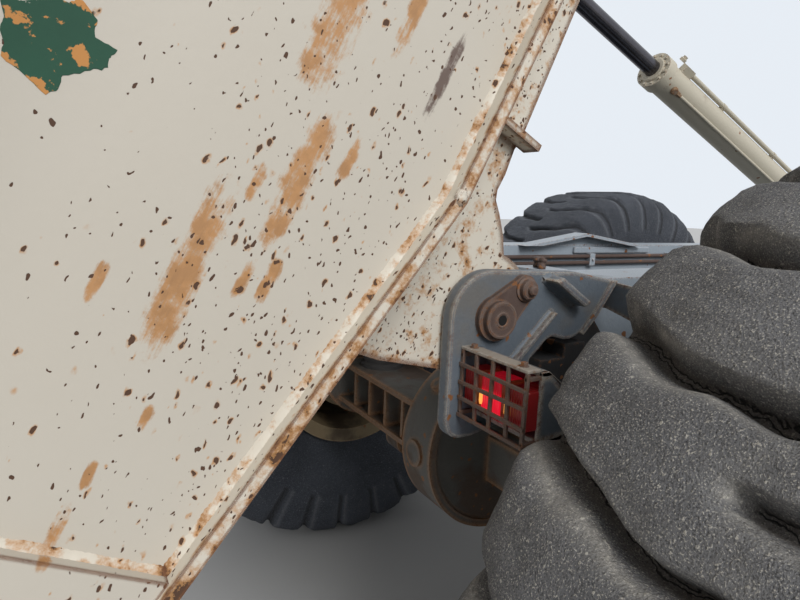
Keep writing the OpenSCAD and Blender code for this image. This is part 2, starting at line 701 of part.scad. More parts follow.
function tyre_point(half, share, y, r) = let (
    a = (share + half / 2) * wheel_pitch + y * tan(lug_sweep) / tyre_r * 180 / PI)
    [r * cos(a), r * sin(a), half == 0 ? y : -y];

function cell_points(half, i) = concat(
    [for (row = tread_rows, e = groove_edges)
        tyre_point(half, i + e[0], row[0], e[1] == 1 ? row[1] : row[2])],
    [for (row = wall_rows) tyre_point(half, i, min(row[0], tyre_w / 2), row[1])]);

function turned(half, faces) = half == 0 ? faces : [for (f = faces) [f[0], f[2], f[1]]];

function quad(a, b, c, d) = [[a, b, c], [a, c, d]];

// Faces of one pitch: from the middle to the first row, along the lug and its groove, and down the side wall.
function cell_faces(half, i) = let (
    at = 2 * lugs + (half * lugs + i) * cell,
    to = 2 * lugs + (half * lugs + (i + 1) % lugs) * cell,
    near = (2 * i + half) % (2 * lugs), far = (near + 1) % (2 * lugs), last = (near + 2) % (2 * lugs),
    wall = at + 8, wall_to = to + 8)
    turned(half, concat(
        [[near, at + 1, at], [near, at + 2, at + 1], [near, at + 3, at + 2],
         [near, far, at + 3], [far, to, at + 3], [far, last, to]],
        [for (k = [0 : 2]) each quad(at + k, at + k + 1, at + k + 5, at + k + 4)],
        quad(at + 3, to, to + 4, at + 7),
        [for (k = [4 : 6]) [at + k, at + k + 1, wall]],
        quad(at + 7, to + 4, wall_to, wall),
        [for (k = [0 : 2]) each quad(wall + k, wall_to + k, wall_to + k + 1, wall + k + 1)]));

// A tyre of flat facets, so that its lugs stay light: one cell to a lug in each half of the tread.
module tyre(x, side) color(BLACK) wheel_at(x, side) polyhedron(
    points = concat(
        [for (i = [0 : 2 * lugs - 1])
            [tyre_r * cos(i * wheel_pitch / 2), tyre_r * sin(i * wheel_pitch / 2), 0]],
        [for (half = [0, 1], i = [0 : lugs - 1]) each cell_points(half, i)]),
    faces = concat(
        [for (half = [0, 1], i = [0 : lugs - 1]) each cell_faces(half, i)],
        [for (i = [0 : lugs - 1]) each let (j = (i + 1) % lugs, a = 2 * lugs + cell - 1,
            b = a + lugs * cell)
            quad(b + i * cell, a + i * cell, a + j * cell, b + j * cell)]));

module tyre_rear_left() tyre(0, 1);
module tyre_rear_right() tyre(0, -1);
module tyre_mid_left() tyre(bogie, 1);
module tyre_mid_right() tyre(bogie, -1);

frame_rail_left();
frame_rail_right();
frame_cross_members();
hitch_tube();
tail_bracket_left();
tail_bracket_right();
hinge_pin_left();
hinge_pin_right();
body_guides();
lamp_housings();
lamp_lenses();
lamp_guards();
bogie_cross_shaft();
bogie_beam_left();
bogie_beam_right();
bogie_springs();
rear_axle_housing();
mid_axle_housing();
axle_links();
drive_shafts();
hoist_foot_left();
hoist_foot_right();
body_floor();
body_side_left();
body_side_right();
body_front_wall();
body_ribs();
body_runners();
hinge_ears();
hoist_lugs();
hoist_barrel_left();
hoist_barrel_right();
hoist_rod_left();
hoist_rod_right();
rim_rear_left();
rim_rear_right();
rim_mid_left();
rim_mid_right();
tyre_rear_left();
tyre_rear_right();
tyre_mid_left();
tyre_mid_right();
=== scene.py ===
# %% [markdown]
# # Rear unit of an articulated dump truck
# The frame, bogie, hoist and raised tipping body come as solids at their real size. This script gives
# them their paint, rust and dirt, and adds the pieces that are too fine for solids, such as worn tyre lugs,
# weld beads, bolts and pipes. Lengths are in metres, except in outlines and profiles, which are drawn in
# millimetres, and X runs forward from the tail to the hitch.

# %% Load the solids
import functools
import json
import math
import bmesh
import bpy
from mathutils import Matrix, Vector, noise


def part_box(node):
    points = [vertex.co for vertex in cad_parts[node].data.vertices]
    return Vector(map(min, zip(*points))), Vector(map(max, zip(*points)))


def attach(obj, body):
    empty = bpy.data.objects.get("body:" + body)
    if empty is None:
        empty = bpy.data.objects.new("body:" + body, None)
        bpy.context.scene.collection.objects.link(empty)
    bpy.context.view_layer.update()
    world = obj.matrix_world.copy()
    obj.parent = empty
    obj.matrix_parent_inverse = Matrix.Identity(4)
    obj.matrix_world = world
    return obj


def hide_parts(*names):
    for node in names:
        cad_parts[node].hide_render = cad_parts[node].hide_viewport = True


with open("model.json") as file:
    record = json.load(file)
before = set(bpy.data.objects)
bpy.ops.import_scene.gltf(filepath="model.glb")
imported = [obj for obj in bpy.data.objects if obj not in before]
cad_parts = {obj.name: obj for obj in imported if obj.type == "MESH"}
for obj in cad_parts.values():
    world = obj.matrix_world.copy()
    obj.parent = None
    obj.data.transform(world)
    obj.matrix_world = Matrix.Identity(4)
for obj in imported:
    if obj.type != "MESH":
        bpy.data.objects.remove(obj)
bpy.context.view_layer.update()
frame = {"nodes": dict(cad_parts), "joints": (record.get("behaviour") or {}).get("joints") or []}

# %% [markdown]
# The hinge pin's place and the raised angle come from the joints, so everything drawn on the body follows
# the solids. Points on the body are given in its own lengthwise and upright directions, as if it were
# lowered, and `on_body` turns them up with it.

# %% Places taken from the joints
JOINTS = {joint["name"]: joint for joint in frame["joints"]}
pin = Vector(JOINTS["body_lower"]["pos_m"])
raised = math.radians(max(JOINTS["body_lower"]["range_deg"]))
body_turn = Matrix.Translation(pin) @ Matrix.Rotation(-raised, 4, "Y")
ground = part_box("tyre_rear_right")[0].z
wheel_centres = {name[:-5]: Vector(JOINTS[name]["pos_m"]) for name in JOINTS if name.endswith("_spin")}
rear_axle = Vector((wheel_centres["wheel_rear_right"].x, 0, ground))
SIDES = ((1, "left", Vector((0, 1, 0))), (-1, "right", Vector((0, -1, 0))))


def on_body(along, across, up):
    return body_turn @ Vector((along, across, up))


def body_way(along, across, up):
    """A direction given in the body's own directions."""
    return body_turn.to_3x3() @ Vector((along, across, up))


def from_axle(x, y, z):
    """A point measured from the rear axle's middle on the ground."""
    return rear_axle + Vector((x, y, z))


print("pin", pin[:], "raised", round(math.degrees(raised)), "ground", round(ground, 3))

# %% [markdown]
# The photographer stood behind the right rear wheel and looked forward and across the frame, a little
# downwards, with the camera rolled slightly. The camera's place is given from the rear axle's middle on the ground.

# %% Camera
CAMERA_PLACE = (-1.103, -1.366, 1.483)
CAMERA_RIGHT = Vector((0.86478, -0.50046, 0.04111))
CAMERA_UP = Vector((0.04535, 0.15937, 0.98617))
LENS_MM, SENSOR_MM = 26.72, 36

scene = bpy.context.scene


def new_object(name, data):
    made = bpy.data.objects.new(name, data)
    scene.collection.objects.link(made)
    return made


camera_data = bpy.data.cameras.new("camera")
camera_data.lens = LENS_MM
camera_data.sensor_width = SENSOR_MM
camera_data.clip_start = 0.02
camera = new_object("camera", camera_data)
turn = Matrix((CAMERA_RIGHT, CAMERA_UP, CAMERA_RIGHT.cross(CAMERA_UP))).transposed()
camera.matrix_world = Matrix.Translation(from_axle(*CAMERA_PLACE)) @ turn.to_4x4()
scene.camera = camera
print("camera at", camera.matrix_world.translation[:])

# %% [markdown]
# ## Shader helpers
# A finish is a small graph of nodes. Here a `Wire` stands for one node's output, and each sum, product or
# power of wires adds a Math node, so that a mask in the code reads as the formula it stands for.

# %% Nodes and wires


def feed(socket, value):
    """Links a socket to a node or wire, or sets it to a plain value."""
    if isinstance(value, bpy.types.Node):
        value = Wire(value)
    if isinstance(value, Wire):
        value.tree.links.new(value.socket, socket)
    elif socket.type == "RGBA":
        socket.default_value = (*value, 1)[:4]
    else:
        socket.default_value = value


def put(tree, kind, settings=None, **inputs):
    """Adds a shader node and feeds its sockets by name; i0, i1 and so on go by place."""
    made = tree.nodes.new("ShaderNode" + kind)
    for name, value in (settings or {}).items():
        setattr(made, name, value)
    for name, value in inputs.items():
        by_place = name[0] == "i" and name[1:].isdigit()
        feed(made.inputs[int(name[1:]) if by_place else name.replace("_", " ")], value)
    return made


class Wire:
    """One output of a node."""

    def __init__(self, node, output=0):
        self.socket = node.outputs[output]
        self.tree = node.id_data

    def maths(self, operation, other=0.0, clamp=False):
        return Wire(put(self.tree, "Math", {"operation": operation, "use_clamp": clamp}, i0=self, i1=other))

    __add__ = functools.partialmethod(maths, "ADD")
    __sub__ = functools.partialmethod(maths, "SUBTRACT")
    __mul__ = functools.partialmethod(maths, "MULTIPLY")
    __truediv__ = functools.partialmethod(maths, "DIVIDE")
    __pow__ = functools.partialmethod(maths, "POWER")
    __abs__ = functools.partialmethod(maths, "ABSOLUTE")
    most = functools.partialmethod(maths, "MAXIMUM")
    least = functools.partialmethod(maths, "MINIMUM")

    def __rsub__(self, other):
        return self * -1.0 + other

    def step(self, low, high):
        """0 below low and 1 above high, or the other way round when low is the larger."""
        smooth = {"interpolation_type": "SMOOTHSTEP"}
        return Wire(put(self.tree, "MapRange", smooth, Value=self, From_Min=low, From_Max=high))


def fractal(place, scale, detail, roughness=0.5):
    return Wire(put(place.tree, "TexNoise", Vector=place, Scale=scale, Detail=detail, Roughness=roughness), "Fac")


def stretched(place, *scale):
    return Wire(put(place.tree, "Mapping", Vector=place, Scale=scale))


def blend(mask, below, above):
    """One colour laid over another."""
    return Wire(put(mask.tree, "Mix", {"data_type": "RGBA"}, i0=mask, i6=below, i7=above), 2)


def bump(main, height, strength, distance):
    feed(main["Normal"], put(height.tree, "Bump", Height=height, Strength=strength, Distance=distance))


def new_material(name, roughness, metallic=0.0):
    """A material, its main node's sockets, and the place on the object."""
    material = bpy.data.materials.new(name)
    material.use_nodes = True
    tree = material.node_tree
    main = tree.nodes["Principled BSDF"].inputs
    feed(main["Roughness"], roughness)
    feed(main["Metallic"], metallic)
    return material, main, Wire(put(tree, "TexCoord"), "Object")


def set_material(obj, material):
    obj.data.materials.clear()
    obj.data.materials.append(material)


def mesh_object(name, mesh, material):
    data = bpy.data.meshes.new(name)
    mesh.to_mesh(data)
    mesh.free()
    made = new_object(name, data)
    set_material(made, material)
    return made


print("shader helpers ready")

# %% [markdown]
# Soft daylight comes from the whole sky, with a broad lamp from the right as a thin sun behind
# cloud. Together they light an upward face at about the level its colour is written in. The floor is plain
# and pale, and only the camera sees the pale sky.

# %% Light, sky and floor
SKY_LIGHT, SKY_SHOWN = (0.93, 0.96, 1.0), (0.80, 0.85, 0.91)
SKY_LEVEL = 0.82
SUN_LEVEL = 2.2
SUN_SPREAD = math.radians(25)
SUN_WAY = Vector((0.14, 0.80, -0.58))
FLOOR_COLOUR = (0.42, 0.415, 0.405)
FLOOR_HALF = 60

scene.view_settings.view_transform = "Standard"
world = bpy.data.worlds.new("sky")
scene.world = world
world.use_nodes = True
sky = world.node_tree
sky.nodes.clear()
rays = put(sky, "LightPath")
put(sky, "OutputWorld", Surface=put(
    sky, "MixShader", i0=Wire(rays, "Is Camera Ray").most(Wire(rays, "Is Transmission Ray")),
    i1=put(sky, "Background", Color=SKY_LIGHT, Strength=SKY_LEVEL),
    i2=put(sky, "Background", Color=SKY_SHOWN, Strength=1.0)))

sun_data = bpy.data.lights.new("thin_sun", "SUN")
sun_data.energy = SUN_LEVEL
sun_data.angle = SUN_SPREAD
sun = new_object("thin_sun", sun_data)
sun.rotation_euler = SUN_WAY.to_track_quat("-Z", "Y").to_euler()

floor_mesh = bmesh.new()
bmesh.ops.create_grid(floor_mesh, x_segments=1, y_segments=1, size=FLOOR_HALF)
bmesh.ops.translate(floor_mesh, verts=floor_mesh.verts, vec=(0, 0, ground))
floor_paint, main, _ = new_material("pale_floor", 0.9)
feed(main["Base Color"], FLOOR_COLOUR)
mesh_object("floor", floor_mesh, floor_paint)
print("light set")

# %% [markdown]
# ## Shared effects
# Rust, chips and dirt turn up on every painted piece, so each is a node group, built once. `specks` gives
# small round spots of uneven size, as where stones have chipped the paint and rust has grown. A Voronoi
# texture gives one spot in a cell, and its random colour says how large that cell's spot is.

# %% Node group: specks


def new_group(name, inputs, outputs):
    """Starts a node group, and gives its inputs as wires. An input without a number is a place."""
    made = bpy.data.node_groups.new(name, "ShaderNodeTree")
    for label, value in inputs.items():
        kind = "NodeSocketVector" if value is None else "NodeSocketFloat"
        socket = made.interface.new_socket(label, in_out="INPUT", socket_type=kind)
        if value is not None:
            socket.default_value = value
    for label in outputs:
        made.interface.new_socket(label, in_out="OUTPUT", socket_type="NodeSocketFloat")
    given = made.nodes.new("NodeGroupInput")
    return made, *(Wire(given, label) for label in inputs)


def end_group(made, *values):
    result = made.nodes.new("NodeGroupOutput")
    for socket, value in zip(result.inputs, values):
        feed(socket, value)
    print(made.name + ":", len(made.nodes), "nodes")


def group(kind, **inputs):
    """Adds one of the groups, and gives its outputs as wires."""
    tree = next(value.tree for value in inputs.values() if isinstance(value, Wire))
    made = put(tree, "Group", {"node_tree": kind}, **inputs)
    return [Wire(made, number) for number in range(len(made.outputs))]


specks, place, scale, share, size = new_group(
    "specks", {"Vector": None, "Scale": 40.0, "Share": 0.3, "Size": 0.35}, ["Mask", "Halo"])
wobble = put(specks, "TexNoise", Vector=place, Scale=90.0, Detail=2.0)
moved = put(specks, "VectorMath", {"operation": "SCALE"}, i0=Wire(wobble, "Color"), Scale=0.012)
shaken = put(specks, "VectorMath", {"operation": "ADD"}, i0=place, i1=moved)
cells = put(specks, "TexVoronoi", Vector=shaken, Scale=scale)
chance = put(specks, "SeparateColor", i0=Wire(cells, "Color"))
chosen = Wire(chance).maths("LESS_THAN", share)
edge = chosen * (Wire(chance, 1) ** 1.6 * size) - Wire(cells, "Distance")
end_group(specks, edge.step(0.0, 0.05), chosen * edge.step(-0.17, 0.02))

# %% [markdown]
# Paint wears through first along edges. The Bevel node rounds the normal near an edge, so where the
# rounded normal differs from the true one there is an edge. Noise breaks the worn line up.

# %% Node group: edge wear
edge_wear, place, radius, breakup = new_group(
    "edge_wear", {"Vector": None, "Radius": 0.008, "Breakup": 0.5}, ["Mask"])
rounded = put(edge_wear, "Bevel", {"samples": 6}, Radius=radius)
true_normal = Wire(put(edge_wear, "NewGeometry"), "Normal")
likeness = put(edge_wear, "VectorMath", {"operation": "DOT_PRODUCT"}, i0=rounded, i1=true_normal)
sharp = Wire(likeness, "Value").step(0.995, 0.90)
spread = sharp + (fractal(place, 55.0, 5.0, 0.7) - breakup * 0.5) * 1.4
end_group(edge_wear, sharp * spread.step(0.75, 1.05))

# %% [markdown]
# Dust and stains vary slowly over a face, with finer blotches inside. Two sizes of noise, each with finer
# noise in it, are enough: one as wide as a plate and one as fine as grit.

# %% Node group: grime
FINER = 34.0
grime, place, scale, contrast = new_group(
    "grime", {"Vector": None, "Scale": 1.0, "Contrast": 1.0}, ["Fac", "Fine"])
level = ((fractal(place, scale, 6.0, 0.62) - 0.5) * contrast).maths("ADD", 0.5, clamp=True)
end_group(grime, level, fractal(place, scale * FINER, 4.0, 0.75))

# %% [markdown]
# Long orange-brown scrapes run along the body's side, where something has rubbed through the top coat.
# Each is a soft-ended stripe: the distance past its ends and its sides is measured in the body's own
# directions, and fine lengthwise noise frays it.

# %% Node group: one scrape
scrape, along, up, fray, start, end, height, width = new_group(
    "scrape", {"Along": 0.0, "Up": 0.0, "Fray": 0.0, "Start": 0.0, "End": 0.1, "Height": 0.5, "Width": 0.03},
    ["Mask"])
far = abs(along - (end + start) * 0.5) / ((end - start) * 0.5)
off = abs(up - height) / (width * 0.5)
inside = 1.15 - (far ** 4.0 + off ** 2.2) + fray * 2.6
end_group(scrape, inside.step(-0.10, 1.0))

# %% [markdown]
# ## Finishes
# The body's cream paint starts from one base colour and lays its changes over it in the order in which they
# came on the truck: uneven dust, orange rust stains, scrapes, rust blots and dark specks, worn edges, and
# inside the bed the bare steel that the load has rubbed. The blots lie thickest on the lip and the ears.

# %% Cream paint
CREAM = (0.530, 0.492, 0.425)
# A paler cream for the ears, the lip and the weld fillets: painted light, for how brightly these faces catch the
# light.
CREAM_LIT = (0.66, 0.61, 0.52)
CREAM_DUSTY = (0.43, 0.37, 0.285)
RUST_ORANGE = (0.44, 0.210, 0.066)
RUST_DARK = (0.060, 0.020, 0.012)
SPECK_BROWN = (0.080, 0.038, 0.020)
RUST_MID = (0.22, 0.092, 0.034)
RUST_BROWN = (0.32, 0.150, 0.045)
BED_STEEL = (0.20, 0.178, 0.155)
BED_DUST = (0.31, 0.268, 0.215)

# Three sizes of speck: cells in a metre, how common they are, and how much of a cell they fill.
SPECKS = [(170.0, 1.6, 0.40), (105.0, 1.1, 0.33), (50.0, 0.45, 0.19)]
# The scrapes on the body's side, in the body's own directions: start, end, height and width. The last is dark.
SCRAPES = [(-0.24, -0.03, 0.505, 0.041), (-0.08, 0.10, 0.443, 0.036), (0.10, 0.24, 0.480, 0.056),
           (0.025, 0.09, 0.398, 0.017), (-0.045, 0.0, 0.483, 0.015), (-0.14, -0.085, 0.421, 0.016),
           (-0.147, -0.10, 0.447, 0.014), (-0.21, -0.165, 0.577, 0.013), (0.19, 0.30, 0.407, 0.021),
           (-0.316, -0.283, 0.474, 0.012), (-0.387, -0.354, 0.499, 0.010), (-0.464, -0.405, 0.503, 0.015),
           (0.15, 0.27, 0.335, 0.016)]
# Where the bed's faces lie: the bend where the chute begins, its slope, the sides, the floor and the front.
BEND, CHUTE = 0.085, math.tan(math.radians(12))
SIDE_IN, FLOOR_SKIN, FRONT_FACE = 0.708, 0.256, 4.482
SKIN = 0.001


def body_directions(where):
    """The place on the body, and its along, across and up, with the hinge pin as zero."""
    turned = {"vector_type": "TEXTURE"}
    local = Wire(put(where.tree, "Mapping", turned, Vector=where, Location=pin, Rotation=(0, -raised, 0)))
    split = put(where.tree, "SeparateXYZ", i0=local)
    return local, [Wire(split, axis) for axis in range(3)]


def rubbed_bed(face, along, across, up):
    """1 on the faces inside the body that the load rubs."""
    if face == "front":
        return along.step(FRONT_FACE, FRONT_FACE - SKIN)
    if face == "floor":
        rise = (BEND - along).most(0.0) * CHUTE
        return (up - rise).step(FLOOR_SKIN - SKIN, FLOOR_SKIN) * abs(across).step(SIDE_IN, SIDE_IN - SKIN)
    normal = Wire(put(up.tree, "NewGeometry"), "Normal")
    facing = Wire(put(up.tree, "SeparateXYZ", i0=normal), 1)
    return (facing * across.maths("SIGN")).step(-0.20, -0.35)


def lay_scrapes(colour, local, along, up):
    fray = fractal(stretched(local, 28.0, 120.0, 230.0), 1.0, 6.0, 0.75)
    uneven = fractal(local, 38.0, 4.0, 0.65)
    frayed = fray + uneven * 1.4 - 1.26
    *marks, dark = [group(scrape, Along=along, Up=up, Fray=frayed, Start=start, End=end, Height=height, Width=width)[0]
                    for start, end, height, width in SCRAPES]
    tone = blend(fray.step(0.25, 0.55), RUST_BROWN, RUST_ORANGE)
    tone = blend(uneven.step(0.48, 0.66) * 0.6, tone, RUST_BROWN)
    colour = blend(functools.reduce(Wire.most, marks) * 0.92, colour, tone)
    return blend(dark * 0.85, colour, RUST_DARK)


def cream_paint(name, scraped=False, rusty_edges=0.010, speck_share=0.30, blotted=0.0, blots_from=0.0, bed=None,
                worn_breakup=0.75, base=CREAM):
    """blotted is how far orange blots spread, past blots_from from the body's middle; bed names a rubbed face."""
    material, main, where = new_material(name, 0.55)
    local, (along, across, up) = body_directions(where)
    dirt, fine = group(grime, Vector=where, Scale=2.2, Contrast=1.3)
    colour = blend(dirt * 0.35, base, CREAM_DUSTY)
    drawn_out = stretched(local, 0.6, 1.0, 1.0)
    near_floor = up.step(0.66, 0.36) * 1.3 + 0.45
    crowd = (dirt.step(0.35, 0.75) + 0.35) * speck_share * near_floor
    (tiny, _), (small, small_halo), (large, large_halo) = [
        group(specks, Vector=drawn_out, Scale=scale, Share=crowd * share, Size=size) for scale, share, size in SPECKS]
    colour = blend(small_halo.most(large_halo) * fine.step(0.32, 0.58) * 0.85, colour, RUST_ORANGE)
    rust = small.most(large).most(tiny)
    if scraped:
        colour = lay_scrapes(colour, local, along, up)
    if blotted:
        blots = fractal(local, 34.0, 6.0, 0.68)
        zone = abs(across).step(blots_from, blots_from + 0.007)
        limit = 0.66 - 0.2 * blotted
        colour = blend(blots.step(limit - 0.12, limit + 0.02) * zone * 0.7, colour, RUST_ORANGE)
        colour = blend(blots.step(limit, limit + 0.05) * zone * 0.85, colour, RUST_BROWN)
        rust = rust.most((blots * zone).step(limit + 0.07, limit + 0.10))
    colour = blend(rust, colour, SPECK_BROWN)
    worn = group(edge_wear, Vector=where, Radius=rusty_edges, Breakup=worn_breakup)[0]
    colour = blend(worn, colour, blend(fine, RUST_DARK, RUST_MID))
    if bed:
        rubs = fractal(stretched(local, 1.5, 14.0, 14.0), 1.0, 7.0, 0.65)
        steel = blend(rubs.step(0.30, 0.70), BED_STEEL, BED_DUST)
        colour = blend(rubbed_bed(bed, along, across, up), colour, steel)
    rust = rust.most(worn)
    feed(main["Base Color"], colour)
    feed(main["Roughness"], rust * 0.3 + 0.5)
    bump(main, fine * 0.25 - rust, 0.5, 0.002)
    return material


cream = cream_paint("cream_paint")
cream_scraped = cream_paint("cream_paint_scraped", scraped=True, bed="side")
cream_side = cream_paint("cream_paint_side", bed="side")
cream_front = cream_paint("cream_paint_front", bed="front")
# The ears, the lip and the welds start from the paler cream as painted light.
cream_ear = cream_paint("cream_paint_ear", rusty_edges=0.022, speck_share=0.55, blotted=0.20, worn_breakup=0.15,
                        base=CREAM_LIT)
cream_lip = cream_paint("cream_paint_lip", blotted=0.75, blots_from=0.741, bed="floor", base=CREAM_LIT)
cream_weld = cream_paint("cream_paint_weld", blotted=0.5, base=CREAM_LIT)
print("cream paint:", len(cream_scraped.node_tree.nodes), "nodes")

# %% [markdown]
# The frame is a blue-grey that has lost its shine. Its edges are rubbed to a paler tone with rust showing
# through in places, and brown road dirt lies in blotches on its faces. Other painted or bare steel wears in
# the same way, so one function makes them all from a base colour, a pale one and a dirty one.

# %% Worn paints and steels


def worn_paint(name, base, pale, dirty, edge_radius=0.010, dirt_share=0.5, roughness=0.6, rubbed=None, spotted=0.35):
    material, main, where = new_material(name, roughness)
    dirt, fine = group(grime, Vector=where, Scale=3.4, Contrast=1.9)
    dirty_mask = dirt.step(1.0 - dirt_share, 1.25 - dirt_share)
    colour = blend(dirty_mask * 0.75, blend(fine * 0.4, base, pale), dirty)
    spots = group(specks, Vector=where, Scale=36.0, Share=spotted, Size=0.4)[0]
    worn = group(edge_wear, Vector=where, Radius=edge_radius, Breakup=0.45)[0]
    colour = blend(worn * 0.9, colour, blend(fine.step(0.35, 0.55), RUST_MID, rubbed or pale))
    feed(main["Base Color"], blend(spots, colour, RUST_MID))
    feed(main["Roughness"], dirty_mask * 0.25 + (roughness - 0.1))
    bump(main, fine + dirty_mask * 0.3, 0.45, 0.0025)
    return material


frame_paint = worn_paint("frame_paint", (0.085, 0.106, 0.132), (0.23, 0.25, 0.26), (0.135, 0.122, 0.105),
                         edge_radius=0.015, rubbed=(0.42, 0.36, 0.28))
rail_paint = worn_paint("rail_paint", (0.25, 0.295, 0.34), (0.46, 0.49, 0.52), (0.20, 0.20, 0.195),
                        dirt_share=0.35, roughness=0.42)
casting = worn_paint("axle_casting", (0.082, 0.080, 0.073), (0.19, 0.173, 0.145), (0.085, 0.052, 0.034),
                     edge_radius=0.030, dirt_share=0.6, roughness=0.75, rubbed=(0.30, 0.17, 0.09))
# Near-black steel for the bracket's spacer box and the plate on the rail: painted shade for the hollow between cheek
# and rail, with some grime.
shade_and_grime_steel = worn_paint("shade_and_grime_steel", (0.020, 0.020, 0.022), (0.040, 0.038, 0.036), (0.035, 0.026, 0.020),
                        roughness=0.85)
rusty_steel = worn_paint("rusty_steel", (0.075, 0.046, 0.038), (0.165, 0.118, 0.095), (0.045, 0.024, 0.016),
                         roughness=0.8)
hoist_paint = worn_paint("hoist_paint", (0.45, 0.41, 0.32), (0.60, 0.55, 0.45), (0.25, 0.19, 0.13),
                         dirt_share=0.35, spotted=0.06)
rusty_port = worn_paint("rusty_port", (0.33, 0.28, 0.21), (0.42, 0.27, 0.15), (0.10, 0.045, 0.025),
                        dirt_share=0.85, roughness=0.8)
dusty_steel = worn_paint("dusty_steel", (0.26, 0.22, 0.18), (0.40, 0.36, 0.31), (0.13, 0.09, 0.065),
                         roughness=0.85, dirt_share=0.3)
rim_paint = worn_paint("rim_paint", (0.21, 0.155, 0.085), (0.33, 0.26, 0.16), (0.07, 0.05, 0.035))
print("worn paints:", len(frame_paint.node_tree.nodes), "nodes each")

# %% [markdown]
# The patch on the body's side is green, with an orange layer under it that shows where it is torn, and cream
# paint where both are gone. One noise, cut at two levels, gives both kinds of tear.

# %% Torn patch's finish


def torn_paint():
    material, main, where = new_material("torn_green", 0.7)
    dirt = group(grime, Vector=where, Scale=9.0, Contrast=1.6)[0]
    torn = fractal(where, 42.0, 7.0, 0.6)
    colour = blend(dirt, (0.004, 0.048, 0.024), (0.010, 0.080, 0.042))
    colour = blend(torn.step(0.57, 0.60), colour, (0.50, 0.22, 0.055))
    feed(main["Base Color"], blend(torn.step(0.34, 0.31), colour, CREAM))
    bump(main, torn, 0.4, 0.001)
    return material


torn_green = torn_paint()
print("torn patch:", len(torn_green.node_tree.nodes), "nodes")

# %% [markdown]
# Tyre rubber is dark grey with grey dust, and up close it is speckled all over with pale grit that the
# lugs have picked up. Attributes set when the tyre is shaped say where the rest goes: `groove` darkens and
# dirties the grooves, `fringe` is the dusty edge of a lug, and `seam` places a pair of fine cracks. Plain
# rubber, grease and the hoist's polished rod need only two tones and a little unevenness.

# %% Rubber and rod
PIT_BLACK, CRACK_BLACK = (0.020, 0.020, 0.023), (0.010, 0.009, 0.008)


def tyre_rubber(name, dark, pale, fleck, mud):
    material, main, where = new_material(name, 0.82)
    groove, fringe, seam = [Wire(put(where.tree, "Attribute", {"attribute_name": kind}), "Fac")
                            for kind in ("groove", "fringe", "seam")]
    dirt = group(grime, Vector=where, Scale=5.0, Contrast=1.7)[0]
    grit = fractal(where, 520.0, 3.0, 0.65)
    coarse = fractal(where, 170.0, 2.0, 0.6)
    colour = blend(grit.step(0.46, 0.36) * 0.75, blend(dirt, dark, pale), PIT_BLACK)
    colour = blend(grit.step(0.57, 0.65).most(coarse.step(0.65, 0.71)) * 0.8, colour, fleck)
    colour = blend(fringe * (coarse * 0.8), colour, fleck)
    colour = blend(groove.step(0.25, 0.85) * (dirt + 0.2) * 0.8, colour, mud)
    bend = (fractal(where, 60.0, 3.0) - 0.5) * 0.14
    first, second = abs(seam + 0.030 + bend), abs(seam - 0.004 + bend * 0.8)
    crack = first.least(second).step(0.009, 0.003) * groove.step(0.55, 0.85)
    feed(main["Base Color"], blend(crack, colour, CRACK_BLACK))
    pebbly = fractal(where, 75.0, 3.0, 0.6)
    bump(main, grit + coarse + pebbly * 1.2 - crack * 1.5, 0.9, 0.0045)
    return material


def plain_rubber(name, dark, pale):
    material, main, where = new_material(name, 0.7)
    dirt, fine = group(grime, Vector=where, Scale=8.0, Contrast=1.2)
    feed(main["Base Color"], blend(dirt, dark, pale))
    bump(main, fine, 0.3, 0.001)
    return material


def polished_rod():
    material, main, where = new_material("polished_rod", 0.25, metallic=1.0)
    dirt, fine = group(grime, Vector=where, Scale=12.0, Contrast=1.6)
    feed(main["Base Color"], blend(dirt, (0.075, 0.073, 0.085), (0.15, 0.145, 0.16)))
    feed(main["Roughness"], fine * 0.2 + 0.15)
    return material


rubber = tyre_rubber("tyre_rubber", (0.070, 0.070, 0.074), (0.185, 0.185, 0.192), (0.52, 0.49, 0.43),
                     (0.090, 0.072, 0.055))
# The left tyres' rubber is a darker, bluer copy of the same rubber: painted shade for the shade under the body.
shade_darkened_rubber = tyre_rubber("shade_darkened_tyre_rubber", (0.022, 0.026, 0.036), (0.075, 0.085, 0.105), (0.21, 0.22, 0.24),
                          (0.03, 0.03, 0.035))
black_rubber = plain_rubber("black_rubber", (0.02, 0.02, 0.022), (0.07, 0.065, 0.06))
black_grease = plain_rubber("black_grease", (0.002, 0.002, 0.002), (0.008, 0.006, 0.005))
rod_steel = polished_rod()
print("rubber and rod finishes made")

# %% [markdown]
# Each solid that keeps its own shape only needs its finish, so one table gives each finish the starts of its
# nodes' names.

# %% Dress the solids
FINISHES = {
    cream: "body_ribs body_runners hoist_lugs",
    cream_lip: "body_floor",
    cream_front: "body_front_wall",
    cream_side: "body_side_left",
    cream_scraped: "body_side_right",
    cream_ear: "hinge_ears",
    frame_paint: "tail_bracket lamp_housings bogie_beam hoist_foot hitch_tube",
    rail_paint: "frame_rail frame_cross_members body_guides",
    casting: "rear_axle_housing mid_axle_housing axle_links drive_shafts bogie_cross_shaft",
    rusty_steel: "hinge_pin lamp_guards",
    hoist_paint: "hoist_barrel",
    rod_steel: "hoist_rod",
    rim_paint: "rim",
    black_rubber: "bogie_springs",
}
dressed = 0
for finish, starts in FINISHES.items():
    for name, node in frame["nodes"].items():
        if name.startswith(tuple(starts.split())):
            set_material(node, finish)
            dressed += 1
print("dressed", dressed, "solids")

# %% [markdown]
# ## Shared shapes
# Plates are outlines pulled to their thickness, with worn edges from a small bevel. Turned pieces are
# profiles spun round an axis. Most pieces come in pairs, so their outlines are given once, as places forward
# of the rear axle and above the ground, and `side` is 1 on the left and -1 on the right.

# %% Plates, turned pieces and bolts
MM = 0.001
UP, FORWARD = Vector((0, 0, 1)), Vector((1, 0, 0))


def new_piece(name, mesh, body, material, smooth=True, replaces=None):
    piece = mesh_object(name, mesh, material)
    for face in piece.data.polygons:
        face.use_smooth = smooth
    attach(piece, body)
    if replaces:
        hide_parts(replaces)
    return piece


